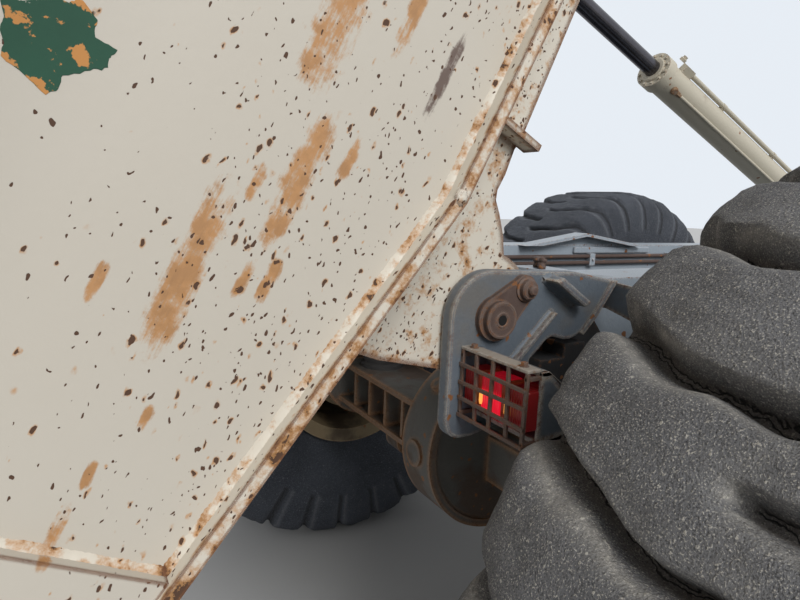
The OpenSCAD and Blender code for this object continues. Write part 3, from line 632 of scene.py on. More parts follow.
def closed_piece(name, mesh, body, material, smooth=False, replaces=None):
    bmesh.ops.remove_doubles(mesh, verts=mesh.verts, dist=0.00002)
    bmesh.ops.recalc_face_normals(mesh, faces=mesh.faces)
    return new_piece(name, mesh, body, material, smooth, replaces)


def add_plate(mesh, corners, thickness, worn):
    rim = [mesh.verts.new(corner) for corner in corners]
    pulled = bmesh.ops.extrude_face_region(mesh, geom=[mesh.faces.new(rim)])["geom"]
    moved = [item for item in pulled if isinstance(item, bmesh.types.BMVert)]
    bmesh.ops.translate(mesh, verts=moved, vec=thickness)
    solid = rim + moved
    bmesh.ops.recalc_face_normals(mesh, faces=list({face for vert in solid for face in vert.link_faces}))
    edges = list({edge for vert in solid for edge in vert.link_edges})
    bmesh.ops.bevel(mesh, geom=edges, offset=worn, segments=2, profile=0.5, affect="EDGES", material=-1)


def add_box(mesh, side, xs, ys, zs, worn):
    """A box on one side of the truck, between pairs of places measured from the rear axle."""
    low, high = sorted(side * y for y in ys)
    ring = [from_axle(xs[0], *place) for place in ((low, zs[0]), (high, zs[0]), (high, zs[1]), (low, zs[1]))]
    add_plate(mesh, ring, FORWARD * (xs[1] - xs[0]), worn)


def side_view(outline, y):
    """An outline of lengthwise and upright places in millimetres, as corners in the upright plane at y."""
    return [from_axle(x * MM, y, z * MM) for x, z in outline]


def add_side_plate(mesh, outline, side, start, end, worn):
    add_plate(mesh, side_view(outline, side * start), Vector((0, side * (end - start), 0)), worn)


def spin(mesh, places, centre, axis, steps, numbers=None):
    """Spins a line of places round an axis. numbers is a layer for each point's number in the line."""
    line = [mesh.verts.new(place) for place in places]
    edges = [mesh.edges.new(pair) for pair in zip(line, line[1:])]
    if numbers:
        for number, vert in enumerate(line):
            vert[numbers] = number
    bmesh.ops.spin(mesh, geom=line + edges, cent=centre, axis=axis, dvec=(0, 0, 0), angle=2 * math.pi,
                   steps=steps, use_merge=True, use_duplicate=False)


def add_turned(mesh, profile, base, axis, steps):
    """Turns a profile of radius and height pairs in millimetres."""
    lift = axis.normalized()
    out = lift.orthogonal().normalized()
    spin(mesh, [base + out * (radius * MM) + lift * (height * MM) for radius, height in profile], base, lift, steps)


def add_bolt(mesh, base, axis, width):
    """A hexagon head on its washer; width is in millimetres across the flats."""
    corner = width / math.sqrt(3)
    low, high = width * 0.12, width * 0.66
    add_turned(mesh, [(0, 0), (corner * 1.25, 0), (corner * 1.25, low), (0, low)], base, axis, 20)
    add_turned(mesh, [(0, low), (corner, low), (corner, high - 0.1 * corner), (corner * 0.86, high), (0, high)],
               base, axis, 6)


print("shapes ready")

# %% [markdown]
# A weld is a grid bent into the corner between two plates, with small scallops along it and slow noise, as
# in a bead laid by hand.

# %% Weld strips
BEAD_PITCH = 0.007
FINE, COARSE = 0.0035, 0.012


def lay_weld(mesh, corner, first, second, size, step):
    """Bends a new strip into the corner between two plates that face along first and second."""
    lengths = [(end - start).length for start, end in zip(corner, corner[1:])]
    columns = max(2, round(sum(lengths) / step))
    strip = bmesh.ops.create_grid(mesh, x_segments=columns, y_segments=4, size=1)["verts"]
    for vert in strip:
        travelled = (vert.co.x + 1) / 2 * sum(lengths)
        turn = (vert.co.y + 1) / 4 * math.pi
        index, rest = 0, travelled
        while index < len(lengths) - 1 and rest > lengths[index]:
            rest -= lengths[index]
            index += 1
        place = corner[index].lerp(corner[index + 1], min(rest / lengths[index], 1))
        scallop = abs(math.sin(travelled * math.pi / BEAD_PITCH))
        lump = noise.noise(place * 60) * 0.25 + noise.noise(place * 240) * 0.12
        reach = size * (1 - 0.22 * math.sin(2 * turn)) * (0.92 + 0.12 * scallop + lump)
        vert.co = place + (first * math.cos(turn) + second * math.sin(turn)) * reach
    faces = list({face for vert in strip for face in vert.link_faces})
    bmesh.ops.recalc_face_normals(mesh, faces=faces)
    mesh.normal_update()
    if faces[0].normal.dot(first + second) < 0:
        bmesh.ops.reverse_faces(mesh, faces=faces)


print("weld strips ready")

# %% [markdown]
# ## Tyres
# The worn lugs are the nearest thing to the camera. A straight spin of the tyre's profile gives a smooth
# tyre, and each of its points is then lowered into a groove or left at the lug's top. Its columns follow the
# grooves, which lean back towards the shoulders, so that a lug's steep face falls between two columns and
# stays crisp. Work on slopes has worn one side of each lug steep and the other round.

# %% Tyre: sizes and profile
tyre_low, tyre_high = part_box("tyre_rear_right")
TYRE_R = (tyre_high.z - tyre_low.z) / 2
LUGS = 28
PITCH = 2 * math.pi / LUGS
# A groove leans back by this times the square of the distance from the middle.
SWEEP = 1.545
# Columns in half a pitch, as shares of the whole pitch: close together at a lug's steep face.
COLUMNS = [0.0, 0.012, 0.028, 0.05, 0.08, 0.12, 0.17, 0.225, 0.28, 0.335, 0.39, 0.445]
COLUMNS_ROUND = len(COLUMNS) * 2 * LUGS
# A lug ends at this share of the pitch, and the rest is the groove's flat bottom.
LUG_END = 0.945
# Rows from the middle to the bead: side, radius at the bottom of a groove, and radius at a lug's top.
ROWS = [(0.0, 0.748, 0.800), (0.10, 0.746, 0.799), (0.17, 0.740, 0.795), (0.22, 0.728, 0.785),
        (0.255, 0.712, 0.767), (0.278, 0.690, 0.735), (0.290, 0.660, 0.690), (0.297, 0.625, 0.640),
        (0.300, 0.580, 0.580), (0.297, 0.520, 0.520), (0.288, 0.460, 0.460), (0.274, 0.415, 0.415),
        (0.262, 0.385, 0.385), (0.2475, 0.356, 0.356), (0.2475, 0.319, 0.319)]
STEPS_BETWEEN = [7, 6, 5, 4, 4, 3, 3, 3, 3, 3, 2, 2, 2, 2]


def catmull(points, index, share):
    """A smooth value between two of a list of rows, by the Catmull-Rom rule."""
    before = points[max(index - 1, 0)]
    after = points[min(index + 2, len(points) - 1)]
    return [0.5 * (2 * b + (c - a) * share + (2 * a - 5 * b + 4 * c - d) * share ** 2
                   + (3 * b - a - 3 * c + d) * share ** 3)
            for a, b, c, d in zip(before, points[index], points[index + 1], after)]


profile = [catmull(ROWS, index, step / steps) for index, steps in enumerate(STEPS_BETWEEN) for step in range(steps)]
profile.append(ROWS[-1])
print("tyre profile:", len(profile), "rows a side,", COLUMNS_ROUND, "columns round")

# %% [markdown]
# Over one pitch a lug rises steeply, keeps a slightly domed top and falls off gently. The two halves' lugs
# are half a pitch apart, and a worn rib joins them along a zigzag in the middle.

# %% Tyre: the lug's height over one pitch
ZIGZAG, RIB_HALF, RIB_HEIGHT = 0.030, 0.014, 0.9
SHOULDER = 0.24


def lug_height(share, out):
    """1 on a lug and 0 in a groove. share runs over one pitch, and out from the middle to the shoulder."""
    steep = min(max((share - 0.05 * out ** 4) / 0.055, 0.0), 1.0)
    steep = steep * steep * (3 - 2 * steep)
    slope = 0.15 + 0.20 * out
    gentle = math.sin(min(max(LUG_END - share, 0.0) / slope, 1.0) * math.pi / 2) ** 0.8
    crown = 1.0 - 0.12 * (2 * share - 1) ** 2
    return steep * gentle * crown


def tread_height(across, share, side):
    """Height, and share of the pitch of the lug on this side of the zigzag."""
    past = across * side + ZIGZAG * math.cos(2 * math.pi * share)
    own = share if past > 0 else (share + 0.5) % 1.0
    height = lug_height(own, min(across / SHOULDER, 1.0))
    return height + (RIB_HEIGHT - height) * math.exp(-(past / RIB_HALF) ** 2), own


print("lug shape ready")

# %% [markdown]
# Slow and fine noise makes the rubber uneven. The photo's far tyre is nearly bald, so the left tyres have
# shallower grooves, and their rubber is a darker, bluer copy of the right tyres' rubber: painted shade for the
# shade under the body. Each wheel has rolled a few degrees, so that no two show the same lugs.

# %% Tyres
# How closely each of the wear's three noises varies round the tyre, and how deep it goes.
WEAR = ((0.9, 0.008), (3.0, 0.0042), (9.0, 0.0020))
WEAR_SPREAD, SIDE_WEAR = 9, 0.25
SWAY, SWAY_CYCLES, SWAY_PLACE = 0.022, 1.3, Vector((7, 0, 0))
FRINGE_AT, FRINGE_HALF, GROOVE_FADE = 0.70, 0.16, 1.7
ROLLED = {"wheel_rear_right": 4.0, "wheel_rear_left": 5.0, "wheel_mid_right": 9.0, "wheel_mid_left": 2.0}
# The left tyres take the darker rubber as painted shade.
DEPTHS = (("right", 1.0, rubber), ("left", 0.45, shade_darkened_rubber))


def shape_tyre(depth):
    """The tyre round zero; depth is the share of the new grooves' depth that is left."""
    mesh = bmesh.new()
    row_layer, groove_layer, fringe_layer, seam_layer = [
        mesh.verts.layers.float.new(name) for name in ("row", "groove", "fringe", "seam")]
    signed = [(-1, row) for row in reversed(profile[1:])] + [(1, row) for row in profile]
    line = [(high, side * across, 0) for side, (across, low, high) in signed]
    spin(mesh, line, (0, 0, 0), (0, 1, 0), COLUMNS_ROUND, row_layer)
    for vert in mesh.verts:
        side, (across, bottom, high) = signed[round(vert[row_layer])]
        low = high - (high - bottom) * depth
        column = round(math.atan2(vert.co.z, vert.co.x) / (2 * math.pi) * COLUMNS_ROUND) % COLUMNS_ROUND
        lug, place = divmod(column, len(COLUMNS) * 2)
        half, rest = divmod(place, len(COLUMNS))
        share = COLUMNS[rest] + half * 0.5
        angle = -(lug + share) * PITCH - SWEEP * across ** 2
        around = Vector((math.cos(angle), side * across, math.sin(angle))) * WEAR_SPREAD
        wear = sum(noise.noise(around * cycles) * deep for cycles, deep in WEAR)
        on_tread = high > low
        height, own = tread_height(across, share, side) if on_tread else (1.0, 0.5)
        radius = min(low + (high - low) * height + wear * (1.0 if on_tread else SIDE_WEAR), TYRE_R)
        vert[seam_layer] = (own + 0.5) % 1.0 - 0.5
        if on_tread:
            angle += noise.noise(around * SWAY_CYCLES + SWAY_PLACE) * SWAY
            vert[groove_layer] = max(0.0, 1 - height * GROOVE_FADE)
            vert[fringe_layer] = math.exp(-((height - FRINGE_AT) / FRINGE_HALF) ** 2)
        vert.co = Vector((math.cos(angle) * radius, side * across, math.sin(angle) * radius))
    bmesh.ops.recalc_face_normals(mesh, faces=mesh.faces)
    return mesh


for word, depth, finish in DEPTHS:
    shape = shape_tyre(depth)
    for wheel in [name for name in ROLLED if name.endswith(word)]:
        node = wheel.replace("wheel", "tyre")
        mesh = shape.copy()
        roll = Matrix.Rotation(math.radians(ROLLED[wheel]), 3, "Y")
        bmesh.ops.rotate(mesh, verts=mesh.verts, cent=(0, 0, 0), matrix=roll)
        bmesh.ops.translate(mesh, verts=mesh.verts, vec=wheel_centres[wheel])
        tyre = new_piece("worn_" + node, mesh, wheel, finish, replaces=node)
    shape.free()
print("tyre:", len(tyre.data.polygons), "faces")

# %% [markdown]
# ## Tail lamp
# The lens is a row of cells: dark red at both ends, amber beside them, and a lit one in the middle that glows
# most near its foot. Each cell is a box, so that it can have its own colour. Two amber bulbs show in front.

# %% Lamp lenses
LAMP_IN, LAMP_OUT = 0.600, 0.760
LENS_FRONT, LENS_BACK, LENS_LOW, LENS_TOP = -0.525, -0.480, 1.162, 1.223
LENS_IN, LENS_OUT = LAMP_IN + 0.004, LAMP_OUT - 0.003
LENS_DIRT = (0.10, 0.05, 0.04)
CELL_GAP = 0.0006


def lens_material(name, colour, glow, lit_below=None):
    material, main, where = new_material(name, 0.3)
    dirt = group(grime, Vector=where, Scale=14.0, Contrast=1.5)[0]
    feed(main["Base Color"], blend(dirt * 0.5, colour, LENS_DIRT))
    feed(main["Emission Color"], colour)
    feed(main["Emission Strength"], glow)
    if lit_below is not None:
        height = Wire(put(where.tree, "SeparateXYZ", i0=where), 2)
        dim = [0.25 * value for value in colour]
        feed(main["Emission Color"], blend(height.step(lit_below + 0.012, lit_below - 0.006), dim, colour))
    bands = {"wave_type": "BANDS", "bands_direction": "Y"}
    bump(main, Wire(put(where.tree, "TexWave", bands, Vector=where, Scale=55.0), "Fac"), 0.4, 0.002)
    return material


def across_lens(share):
    return LENS_IN + (LENS_OUT - LENS_IN) * share


lens_red = lens_material("lens_red", (0.24, 0.006, 0.008), 0.08)
lens_lit = lens_material("lens_lit", (0.80, 0.008, 0.030), 0.75, lit_below=LENS_LOW + ground + 0.034)
lens_amber = lens_material("lens_amber", (0.30, 0.035, 0.010), 0.10)
bulb_amber = lens_material("bulb_amber", (0.95, 0.42, 0.08), 0.9)
# Shares of the lens's width.
CELLS = [(0.00, 0.19, lens_red), (0.19, 0.29, lens_amber), (0.29, 0.44, lens_lit), (0.44, 0.60, lens_lit),
         (0.60, 0.72, lens_amber), (0.72, 1.0, lens_red)]
BULBS = [0.30, 0.70]
BULB = [(0, 0), (3, 1), (4.2, 6), (4.2, 19), (2.5, 24), (0, 25)]
for side, word, _ in SIDES:
    for number, (start, end, finish) in enumerate(CELLS):
        mesh = bmesh.new()
        add_box(mesh, side, (LENS_FRONT, LENS_BACK), (across_lens(start) + CELL_GAP, across_lens(end) - CELL_GAP),
                (LENS_LOW, LENS_TOP), 0.003)
        first = word == "right" and number == 0
        closed_piece(f"lamp_cell_{word}_{number}", mesh, "frame", finish,
                     replaces="lamp_lenses" if first else None)
    mesh = bmesh.new()
    for share in BULBS:
        add_turned(mesh, BULB, from_axle(LENS_FRONT + MM, side * across_lens(share), LENS_LOW + 0.010), UP, 12)
    closed_piece("lamp_bulbs_" + word, mesh, "frame", bulb_amber, smooth=True)
print("lamp cells made")

# %% [markdown]
# The lamp sits in a housing of thin sheet with a sloping roof. The sheet's outline is pulled across from side
# to side, and two cheeks close the ends.

# %% Lamp housings
ROOF = [(-505, 1252), (-490, 1252), (-380, 1166), (-380, 1150), (-475, 1140), (-505, 1140)]
SHELL = ROOF + [(-505, 1148), (-478, 1148), (-398, 1156), (-398, 1163), (-486, 1244), (-505, 1244)]
SHEET = 0.006
mesh = bmesh.new()
for side, *_ in SIDES:
    add_side_plate(mesh, SHELL, side, LAMP_IN, LAMP_OUT, 0.0015)
    for y in (LAMP_IN, LAMP_OUT - SHEET):
        add_side_plate(mesh, ROOF, side, y, y + SHEET, 0.0015)
housing = closed_piece("lamp_shells", mesh, "frame", frame_paint, replaces="lamp_housings")
print("lamp housings:", len(housing.data.polygons), "faces")

# %% [markdown]
# The guard is a welded grid of flat strips that have been knocked a little out of line, a bolted top plate
# under pale dust, and a sloping foot with openings. Every strip is a plate of its own, as on the real guard.

# %% Lamp guards
STRIP, STRIP_WORN = 0.0065, 0.001
GUARD_FRONT, GUARD_BACK, GUARD_LOW, GUARD_TOP = -0.533, -0.505, 1.138, 1.252
GUARD_COLUMNS, GUARD_ROWS, KNOCKED = 4, 4, 0.0015
FOOT_SHEET = Vector((0.002, 0, -0.004))
TOP_SHEET = 0.005
mesh, plates = bmesh.new(), bmesh.new()


def add_foot(low, high, near, far):
    """A sloping strip of the foot, from near to far: how far forward of the guard and above its foot."""
    ring = [(near, low), (near, high), (far, high), (far, low)]
    add_plate(mesh, [from_axle(GUARD_FRONT + x, y, GUARD_LOW + z) for (x, z), y in ring], FOOT_SHEET, STRIP_WORN)


for side, *_ in SIDES:
    for column in range(GUARD_COLUMNS + 1):
        lean = KNOCKED * math.sin(3.1 * column + side)
        start = LAMP_IN + column * (LAMP_OUT - LAMP_IN - STRIP) / GUARD_COLUMNS
        low, high = sorted((side * start, side * (start + STRIP)))
        strip = [(low + lean, GUARD_TOP), (high + lean, GUARD_TOP), (high - lean, GUARD_LOW), (low - lean, GUARD_LOW)]
        add_plate(mesh, [from_axle(GUARD_FRONT, y, z) for y, z in strip], FORWARD * 0.005, STRIP_WORN)
        add_foot(low, high, (0, 0.003), (0.066, -0.029))
    for row in range(GUARD_ROWS):
        height = GUARD_LOW + row * (GUARD_TOP - GUARD_LOW) / GUARD_ROWS
        tip = KNOCKED * math.sin(2.3 * row)
        ends = [from_axle(GUARD_FRONT - 0.003, side * LAMP_IN, height + tip),
                from_axle(GUARD_FRONT - 0.003, side * LAMP_OUT, height - tip)]
        add_plate(mesh, ends + [end + UP * STRIP for end in reversed(ends)], FORWARD * 0.004, STRIP_WORN)
    for y in (LAMP_IN, LAMP_OUT - STRIP):
        for height in (GUARD_LOW + 0.003, GUARD_TOP - 0.012):
            add_box(mesh, side, (GUARD_FRONT, GUARD_BACK), (y, y + STRIP), (height, height + STRIP), STRIP_WORN)
    add_foot(*sorted((side * LAMP_IN, side * LAMP_OUT)), (0.040, -0.017), (0.070, -0.031))
    add_box(plates, side, (GUARD_FRONT, -0.507), (LAMP_IN, LAMP_OUT), (GUARD_TOP, GUARD_TOP + TOP_SHEET), 0.0012)
    for y in (0.619, 0.738):
        add_bolt(mesh, from_axle(-0.520, side * y, GUARD_TOP + TOP_SHEET), UP, 10)
guard = closed_piece("guard_grids", mesh, "frame", rusty_steel, replaces="lamp_guards")
closed_piece("guard_top_plates", plates, "frame", dusty_steel)
print("guards:", len(guard.data.polygons), "faces")

# %% [markdown]
# ## Tail brackets
# Each bracket is drawn again with worn, rounded edges: the swan-necked cheek that holds the hinge pin, the
# shorter cheek inside the ear, the box between cheek and rail, a slanted web behind the cheek's front edge with
# a cross gusset, and the bar and thin rib that are welded across the cheek's face. The box and a thin plate laid
# on the rail behind the cheek are near black: painted shade for the dark hollow between cheek and rail, with
# some grime.

# %% Brackets
PIN_X, PIN_Z, HEAD_R = -470, 1300, 80


def arc(x, z, radius, start, end, steps):
    turns = [math.radians(start + (end - start) * step / steps) for step in range(steps + 1)]
    return [(x + radius * math.cos(turn), z + radius * math.sin(turn)) for turn in turns]


CHEEK = arc(-476, PIN_Z, HEAD_R, 180, 90, 10) + [
    (-281, 1373), (-184, 1355), (-221, 1299), (-255, 1262), (-268, 1253), (-284, 1248),
    (-300, 1248), (-320, 1254), (-332, 1256), (-345, 1250), (-358, 1237), (-380, 1218),
    (-380, 1120), (-500, 1095), (-526, 1095), (-540, 1099), (-550, 1108), (-556, 1125)]
INNER_CHEEK = arc(PIN_X, PIN_Z, HEAD_R, 34, 235, 14) + [(-300, 1130), (-300, 1345)]
SPACER = [(-330, 1140), (-330, 1205), (-270, 1205), (-270, 1232), (-215, 1232), (-215, 1140)]
WEB = [(-172, 1352), (-155, 1352), (-203, 1286), (-238, 1250), (-250, 1256), (-212, 1296)]
BAR = [(-364, 1362), (-346, 1369), (-272, 1322), (-288, 1313)]
RIB = [(-341, 1304), (-333, 1302), (-429, 1207), (-437.5, 1213)]
# A thin near-black plate on the rail's outer face behind the cheek: painted shade, with some grime, where the notch
# shows the rail.
RAIL_SHADE_PLATE = [(-330, 1080), (-330, 1262), (-130, 1262), (-70, 1190), (-70, 1080)]
# The gusset is seen from behind: across and upright places.
GUSSET = [(0.510, 1.352), (0.660, 1.340), (0.660, 1.268), (0.560, 1.292), (0.510, 1.292)]
GUSSET_X = -0.150
CHEEK_IN, CHEEK_OUT, RAIL_OUT = 0.572, 0.600, 0.510
for side, word, _ in SIDES:
    mesh, boxes = bmesh.new(), bmesh.new()
    for plate, start, end, worn in ((CHEEK, CHEEK_IN, CHEEK_OUT, 0.0045),
                                    (INNER_CHEEK, RAIL_OUT - 0.028, RAIL_OUT, 0.003),
                                    (WEB, RAIL_OUT, CHEEK_OUT - 0.010, 0.002),
                                    (BAR, CHEEK_OUT - 0.002, CHEEK_OUT + 0.034, 0.004),
                                    (RIB, CHEEK_OUT - 0.002, CHEEK_OUT + 0.014, 0.0025)):
        add_side_plate(mesh, plate, side, start, end, worn)
    add_plate(mesh, [from_axle(GUSSET_X, side * y, z) for y, z in GUSSET], FORWARD * 0.008, 0.0015)
    # The spacer and the rail plate take the near-black steel: painted shade in the hollow.
    add_side_plate(boxes, SPACER, side, RAIL_OUT, CHEEK_IN + 0.002, 0.002)
    add_side_plate(boxes, RAIL_SHADE_PLATE, side, RAIL_OUT, RAIL_OUT + 0.004, 0.001)
    closed_piece("bracket_shade_pieces_" + word, boxes, "frame", shade_and_grime_steel)
    bracket = closed_piece("worn_bracket_" + word, mesh, "frame", frame_paint,
                           replaces="tail_bracket_" + word)
print("bracket:", len(bracket.data.polygons), "faces")

# %% [markdown]
# The hinge pin's end shows a worn ring with a grease hole in it, and the flag plate is held by a broad
# washer with a domed stud.

# %% Pin ends
RING = [(0, 0.8), (9.5, 0.8), (10.5, 1.8), (12.5, 1.8), (13.5, 0.6), (26.5, 0.6), (28, 1), (30, 0.4),
        (30.4, -2), (0, -2)]
HOLE = [(0, 1), (8.8, 1), (8.8, -1), (0, -1)]
STUD = [(0, 0), (21.5, 0), (21.5, 3), (17.5, 3.8), (17, 12), (15, 14), (9, 14.5), (8.8, 20.5), (6.5, 23.5), (0, 24.5)]
PIN_FACE, FLAG_FACE = 0.624, 0.612
pins, holes = bmesh.new(), bmesh.new()
for side, _, outward in SIDES:
    face, stud = side_view([(PIN_X, PIN_Z)], side * PIN_FACE) + side_view([(PIN_X + 57, PIN_Z + 48)], side * FLAG_FACE)
    add_turned(pins, RING, face, outward, 40)
    add_turned(holes, HOLE, face, outward, 20)
    add_turned(pins, STUD, stud, outward, 28)
closed_piece("pin_ends", pins, "frame", rusty_steel)
closed_piece("grease_holes", holes, "frame", black_grease)
print("pin ends made")

# %% [markdown]
# ## Welds and the torn patch on the body
# Fillets run between side and floor on both sides, fine where the photographer stood and coarser far off.
# They follow the bend where the floor turns up into the chute.

# %% Body welds
SIDE, LIP, FLOOR_TOP = 0.720, 0.750, 0.261
RIM_END, RIM_TOP = -0.455, 0.760
NEAR_END, FRONT = 1.7, 4.48
EAR_OUT, EAR_DROP = 0.567, 0.018
BEAD, RIM_BEAD = 0.008, 0.007


def chute_top(along):
    return FLOOR_TOP + max(BEND - along, 0) * CHUTE


body_welds = bmesh.new()
up, onward = body_way(0, 0, 1), body_way(1, 0, 0)
for side, _, outward in SIDES:
    fine = FINE if side < 0 else COARSE
    floor_edge = [(along, SIDE, chute_top(along)) for along in (RIM_END, BEND, NEAR_END)]
    front_edge = [(along, SIDE, FLOOR_TOP) for along in (NEAR_END, FRONT)]
    rim_edge = [(RIM_END, SIDE, height) for height in (chute_top(RIM_END), RIM_TOP)]
    ear_edge = [(along, EAR_OUT, chute_top(along) - EAR_DROP) for along in (-0.150, BEND, 0.600)]
    for edge, second, size, step in ((floor_edge, up, BEAD, fine), (front_edge, up, BEAD, COARSE),
                                     (rim_edge, onward, RIM_BEAD, fine), (ear_edge, -up, BEAD, fine)):
        corner = [on_body(along, side * across, height) for along, across, height in edge]
        lay_weld(body_welds, corner, outward, second, size, step)
welds = new_piece("body_welds", body_welds, "tipping_body", cream_weld)
print("body welds:", len(welds.data.polygons), "faces")

# %% [markdown]
# At the bend the welder stopped and started again, which left a lump: a small ball made uneven by noise.

# %% Weld blob at the bend
BLOB_SIZE = (0.012, 0.006, 0.009)
blob = bmesh.new()
bmesh.ops.create_icosphere(blob, subdivisions=3, radius=1)
middle = on_body(BEND + 0.003, -LIP + 0.002, FLOOR_TOP - 0.006)
for vert in blob.verts:
    lumpy = 1 + 0.35 * noise.noise(vert.co * 2.1)
    vert.co = middle + body_way(*(value * size * lumpy for value, size in zip(vert.co, BLOB_SIZE)))
closed_piece("weld_blob", blob, "tipping_body", cream_weld, smooth=True)
print("weld blob made")

# %% [markdown]
# A green patch, mostly torn away, is stuck on the right side. It is a thin plate, and each edge of its outline
# is torn in five ragged steps.

# %% Torn patch
# Corners along and above the pin, in millimetres.
PATCH = [(3, 746), (29, 713), (36, 702), (42, 695), (34, 678), (24, 676), (19, 673), (20, 653), (10, 655), (1, 653),
         (-10, 664), (-27, 681), (-40, 679), (-50, 685), (-44, 705), (-39, 727), (-28, 729), (-20, 736), (-8, 738)]
TEARS, RAGGED = 5, 0.0022
PATCH_THICK = 0.0008
patch = bmesh.new()
outline = []
for start, end in zip(PATCH, PATCH[1:] + PATCH[:1]):
    for step in range(TEARS):
        place = Vector((*start, 0)).lerp(Vector((*end, 0)), step / TEARS) * MM
        ragged = noise.noise(place * 160) * RAGGED if step else 0.0
        outline.append(on_body(place.x + ragged, -SIDE + 0.0002, place.y + ragged))
add_plate(patch, outline, Vector((0, -PATCH_THICK, 0)), 0.0003)
closed_piece("torn_patch", patch, "tipping_body", torn_green)
print("torn patch made")

# %% [markdown]
# The bracket's bar and rib are welded on all round, so a bead is laid along each edge of their outlines.

# %% Bracket welds
bracket_welds = bmesh.new()
for side, _, outward in SIDES:
    for outline, size in ((BAR, 0.006), (RIB, 0.004)):
        corners = side_view(outline, side * CHEEK_OUT)
        middle = sum(corners, Vector()) / len(corners)
        for start, end in zip(corners, corners[1:] + corners[:1]):
            away = (end - start).normalized().cross(outward)
            if away.dot(start - middle) < 0:
                away = -away
            lay_weld(bracket_welds, [start, end], outward, away, size, 0.003)
new_piece("bracket_welds", bracket_welds, "frame", frame_paint)
print("bracket welds made")

# %% [markdown]
# ## Wheel nuts
# Every wheel has a ring of nuts on the rim's disc, a smaller ring of bolts on the hub and a valve stem.

# %% Wheel nuts
# How many, the ring's radius, how far out from the wheel's middle, and width across the flats.
NUT_RINGS = ((20, 0.245, 0.0875, 32), (10, 0.118, 0.215, 20))
VALVE = [(0, 0), (6, 0), (6, 30), (8, 31), (8, 44), (0, 46)]
for wheel, centre in wheel_centres.items():
    outward = Vector((0, 1 if centre.y > 0 else -1, 0))
    mesh = bmesh.new()
    for count, ring, out, width in NUT_RINGS:
        for number in range(count):
            turn = 2 * math.pi * number / count
            spoke = Vector((math.cos(turn), 0, math.sin(turn))) * ring
            add_bolt(mesh, centre + spoke + outward * out, outward, width)
    add_turned(mesh, VALVE, centre + FORWARD * 0.288 + outward * 0.100, outward, 12)
    closed_piece("nuts_" + wheel, mesh, wheel, rusty_steel)
print("wheel nuts made")

# %% [markdown]
# ## Hoist fittings and pipes
# The gland of each hoist cylinder is held by a ring of bolts round a wiper ring. Clips hold the solids' pipe
# on the barrel, with an elbow at its gland end, and a slim pipe runs low on the barrel's inner side between
# two ports, as in the photo.

# %% Hoist fittings
BARREL_R, GLAND_AT, PIPE_TURN, PIPE_OUT = 0.075, 2.215, math.radians(40), 0.091
CLIPS_AT, CLIP_LONG, CLIP_HALF = (0.55, 1.15, 1.70), 0.026, 0.011
SLIM_TURN, SLIM_R, SLIM_OUT, SLIM_START, SLIM_END = math.radians(132), 7.5, 0.080, 0.30, GLAND_AT - 0.135
GLAND_BOLTS, GLAND_RING = 12, 0.0725
WIPER = [(38.2, 0), (60, 0), (60, 5), (54, 9), (38.2, 9), (38.2, 0)]
CLIP = [(11.5, 0), (14.5, 0), (14.5, 26), (11.5, 26), (11.5, 0)]
ELBOW = [(0, 0), (17, 0), (17, 14), (12, 16), (12, 26), (0, 27)]
BOSS = [(0, 0), (19, 0), (19, 10), (16, 12), (16, 19), (13, 21), (0, 22)]
GLAND_NUT = [(0, 0), (13.5, 0), (13.5, 18), (9.5, 20), (9.5, 34), (0, 34)]
FOOT_NUT = [(0, 0), (13.5, 0), (13.5, 20), (0, 20)]
slim_length = (SLIM_END - SLIM_START) / MM
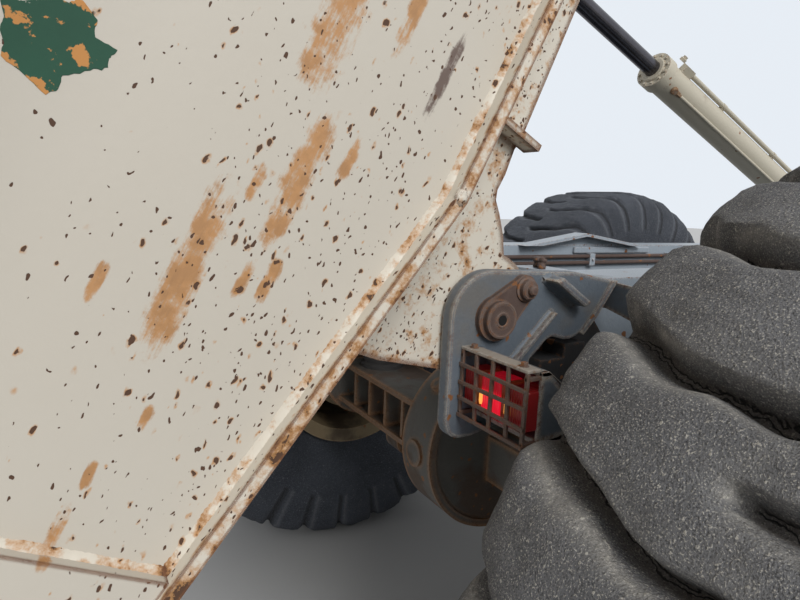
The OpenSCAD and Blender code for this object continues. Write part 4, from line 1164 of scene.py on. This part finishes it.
for _, word, outward in SIDES:
    foot = Vector(JOINTS["hoist_swing_" + word]["pos_m"])
    along = Vector(JOINTS["hoist_stroke_" + word]["axis"])
    lift = Vector((along.z, 0, -along.x))

    def outwards(turn):
        return lift * math.cos(turn) - outward * math.sin(turn)

    mesh, port = bmesh.new(), bmesh.new()
    gland = foot + along * GLAND_AT
    add_turned(mesh, WIPER, gland, along, 40)
    for number in range(GLAND_BOLTS):
        add_bolt(mesh, gland + outwards(2 * math.pi * (number + 0.5) / GLAND_BOLTS) * GLAND_RING, along, 12)
    out = outwards(PIPE_TURN)
    for at in CLIPS_AT:
        add_turned(mesh, CLIP, foot + along * at + out * PIPE_OUT, along, 20)
        base = foot + along * at + out * (BARREL_R - 0.006)
        block = [base + along.cross(out) * reach for reach in (-CLIP_HALF, CLIP_HALF)]
        add_plate(mesh, block + [corner + out * 0.012 for corner in reversed(block)], along * CLIP_LONG, 0.0015)
    add_turned(mesh, ELBOW, gland - along * 0.085 + out * 0.105, out, 6)
    slim = outwards(SLIM_TURN)
    start = foot + along * SLIM_START + slim * SLIM_OUT
    add_turned(mesh, [(0, 0), (SLIM_R, 0), (SLIM_R, slim_length), (0, slim_length)], start, along, 16)
    add_turned(port, BOSS, gland - along * 0.118 + slim * 0.070, slim, 12)
    add_turned(port, GLAND_NUT, gland - along * 0.134 + slim * SLIM_OUT, -along, 6)
    add_turned(port, FOOT_NUT, start - along * 0.004, along, 6)
    closed_piece("hoist_ports_" + word, port, "hoist_barrel_" + word, rusty_port)
    closed_piece("hoist_fittings_" + word, mesh, "hoist_barrel_" + word, hoist_paint)
print("hoist fittings made")

# %% [markdown]
# Steel pipes run along the insides of the rails in clips, so none of them hangs free. Wear pads lie along
# the rails, and three capped plugs stand on a plate on the tail's cross member.

# %% Pipes, clips and pads on the frame
PIPE_Y, PIPE_Z, PIPE_START, PIPE_LONG = 0.356, 1.300, 0.20, 3300
PIPE = [(0, 0), (11, 0), (11, 22), (8, 24), (8, PIPE_LONG - 24), (11, PIPE_LONG - 22), (11, PIPE_LONG), (0, PIPE_LONG)]
PLUG = [(0, 0), (13, 0), (13, 12), (9, 13), (9, 20), (12, 21), (12, 30), (0, 31)]
PLUGS = ((0.035, -0.175, 0.3), (0.055, -0.140, -0.2), (0.085, -0.110, 0.5))
RAIL_IN, CLIP_IN = 0.3705, 0.345
CLIPS, CLIP_STEP = 7, 0.50
mesh, pipes = bmesh.new(), bmesh.new()
for side, _, outward in SIDES:
    for drop in (0.0, 0.026):
        add_turned(pipes, PIPE, from_axle(PIPE_START, side * PIPE_Y, PIPE_Z - drop), FORWARD, 16)
    for clip in range(CLIPS):
        x = PIPE_START + 0.10 + clip * CLIP_STEP
        add_box(mesh, side, (x, x + 0.030), (CLIP_IN, RAIL_IN), (PIPE_Z - 0.038, PIPE_Z + 0.012), 0.002)
        add_bolt(mesh, from_axle(x + 0.015, side * CLIP_IN, PIPE_Z - 0.013), -outward, 10)
    add_box(mesh, side, (0.72, 1.18), (0.358, RAIL_IN), (1.312, 1.338), 0.005)
add_box(mesh, 1, (0.01, 0.11), (-0.205, -0.085), (1.306, 1.324), 0.004)
closed_piece("clips_and_pads", mesh, "frame", rail_paint)
for x, y, tilt in PLUGS:
    add_turned(pipes, PLUG, from_axle(x, y, 1.322), Vector((tilt, 0.2 * tilt, 1)), 6)
closed_piece("rail_pipes", pipes, "frame", rusty_steel, smooth=True)
print("pipes made")
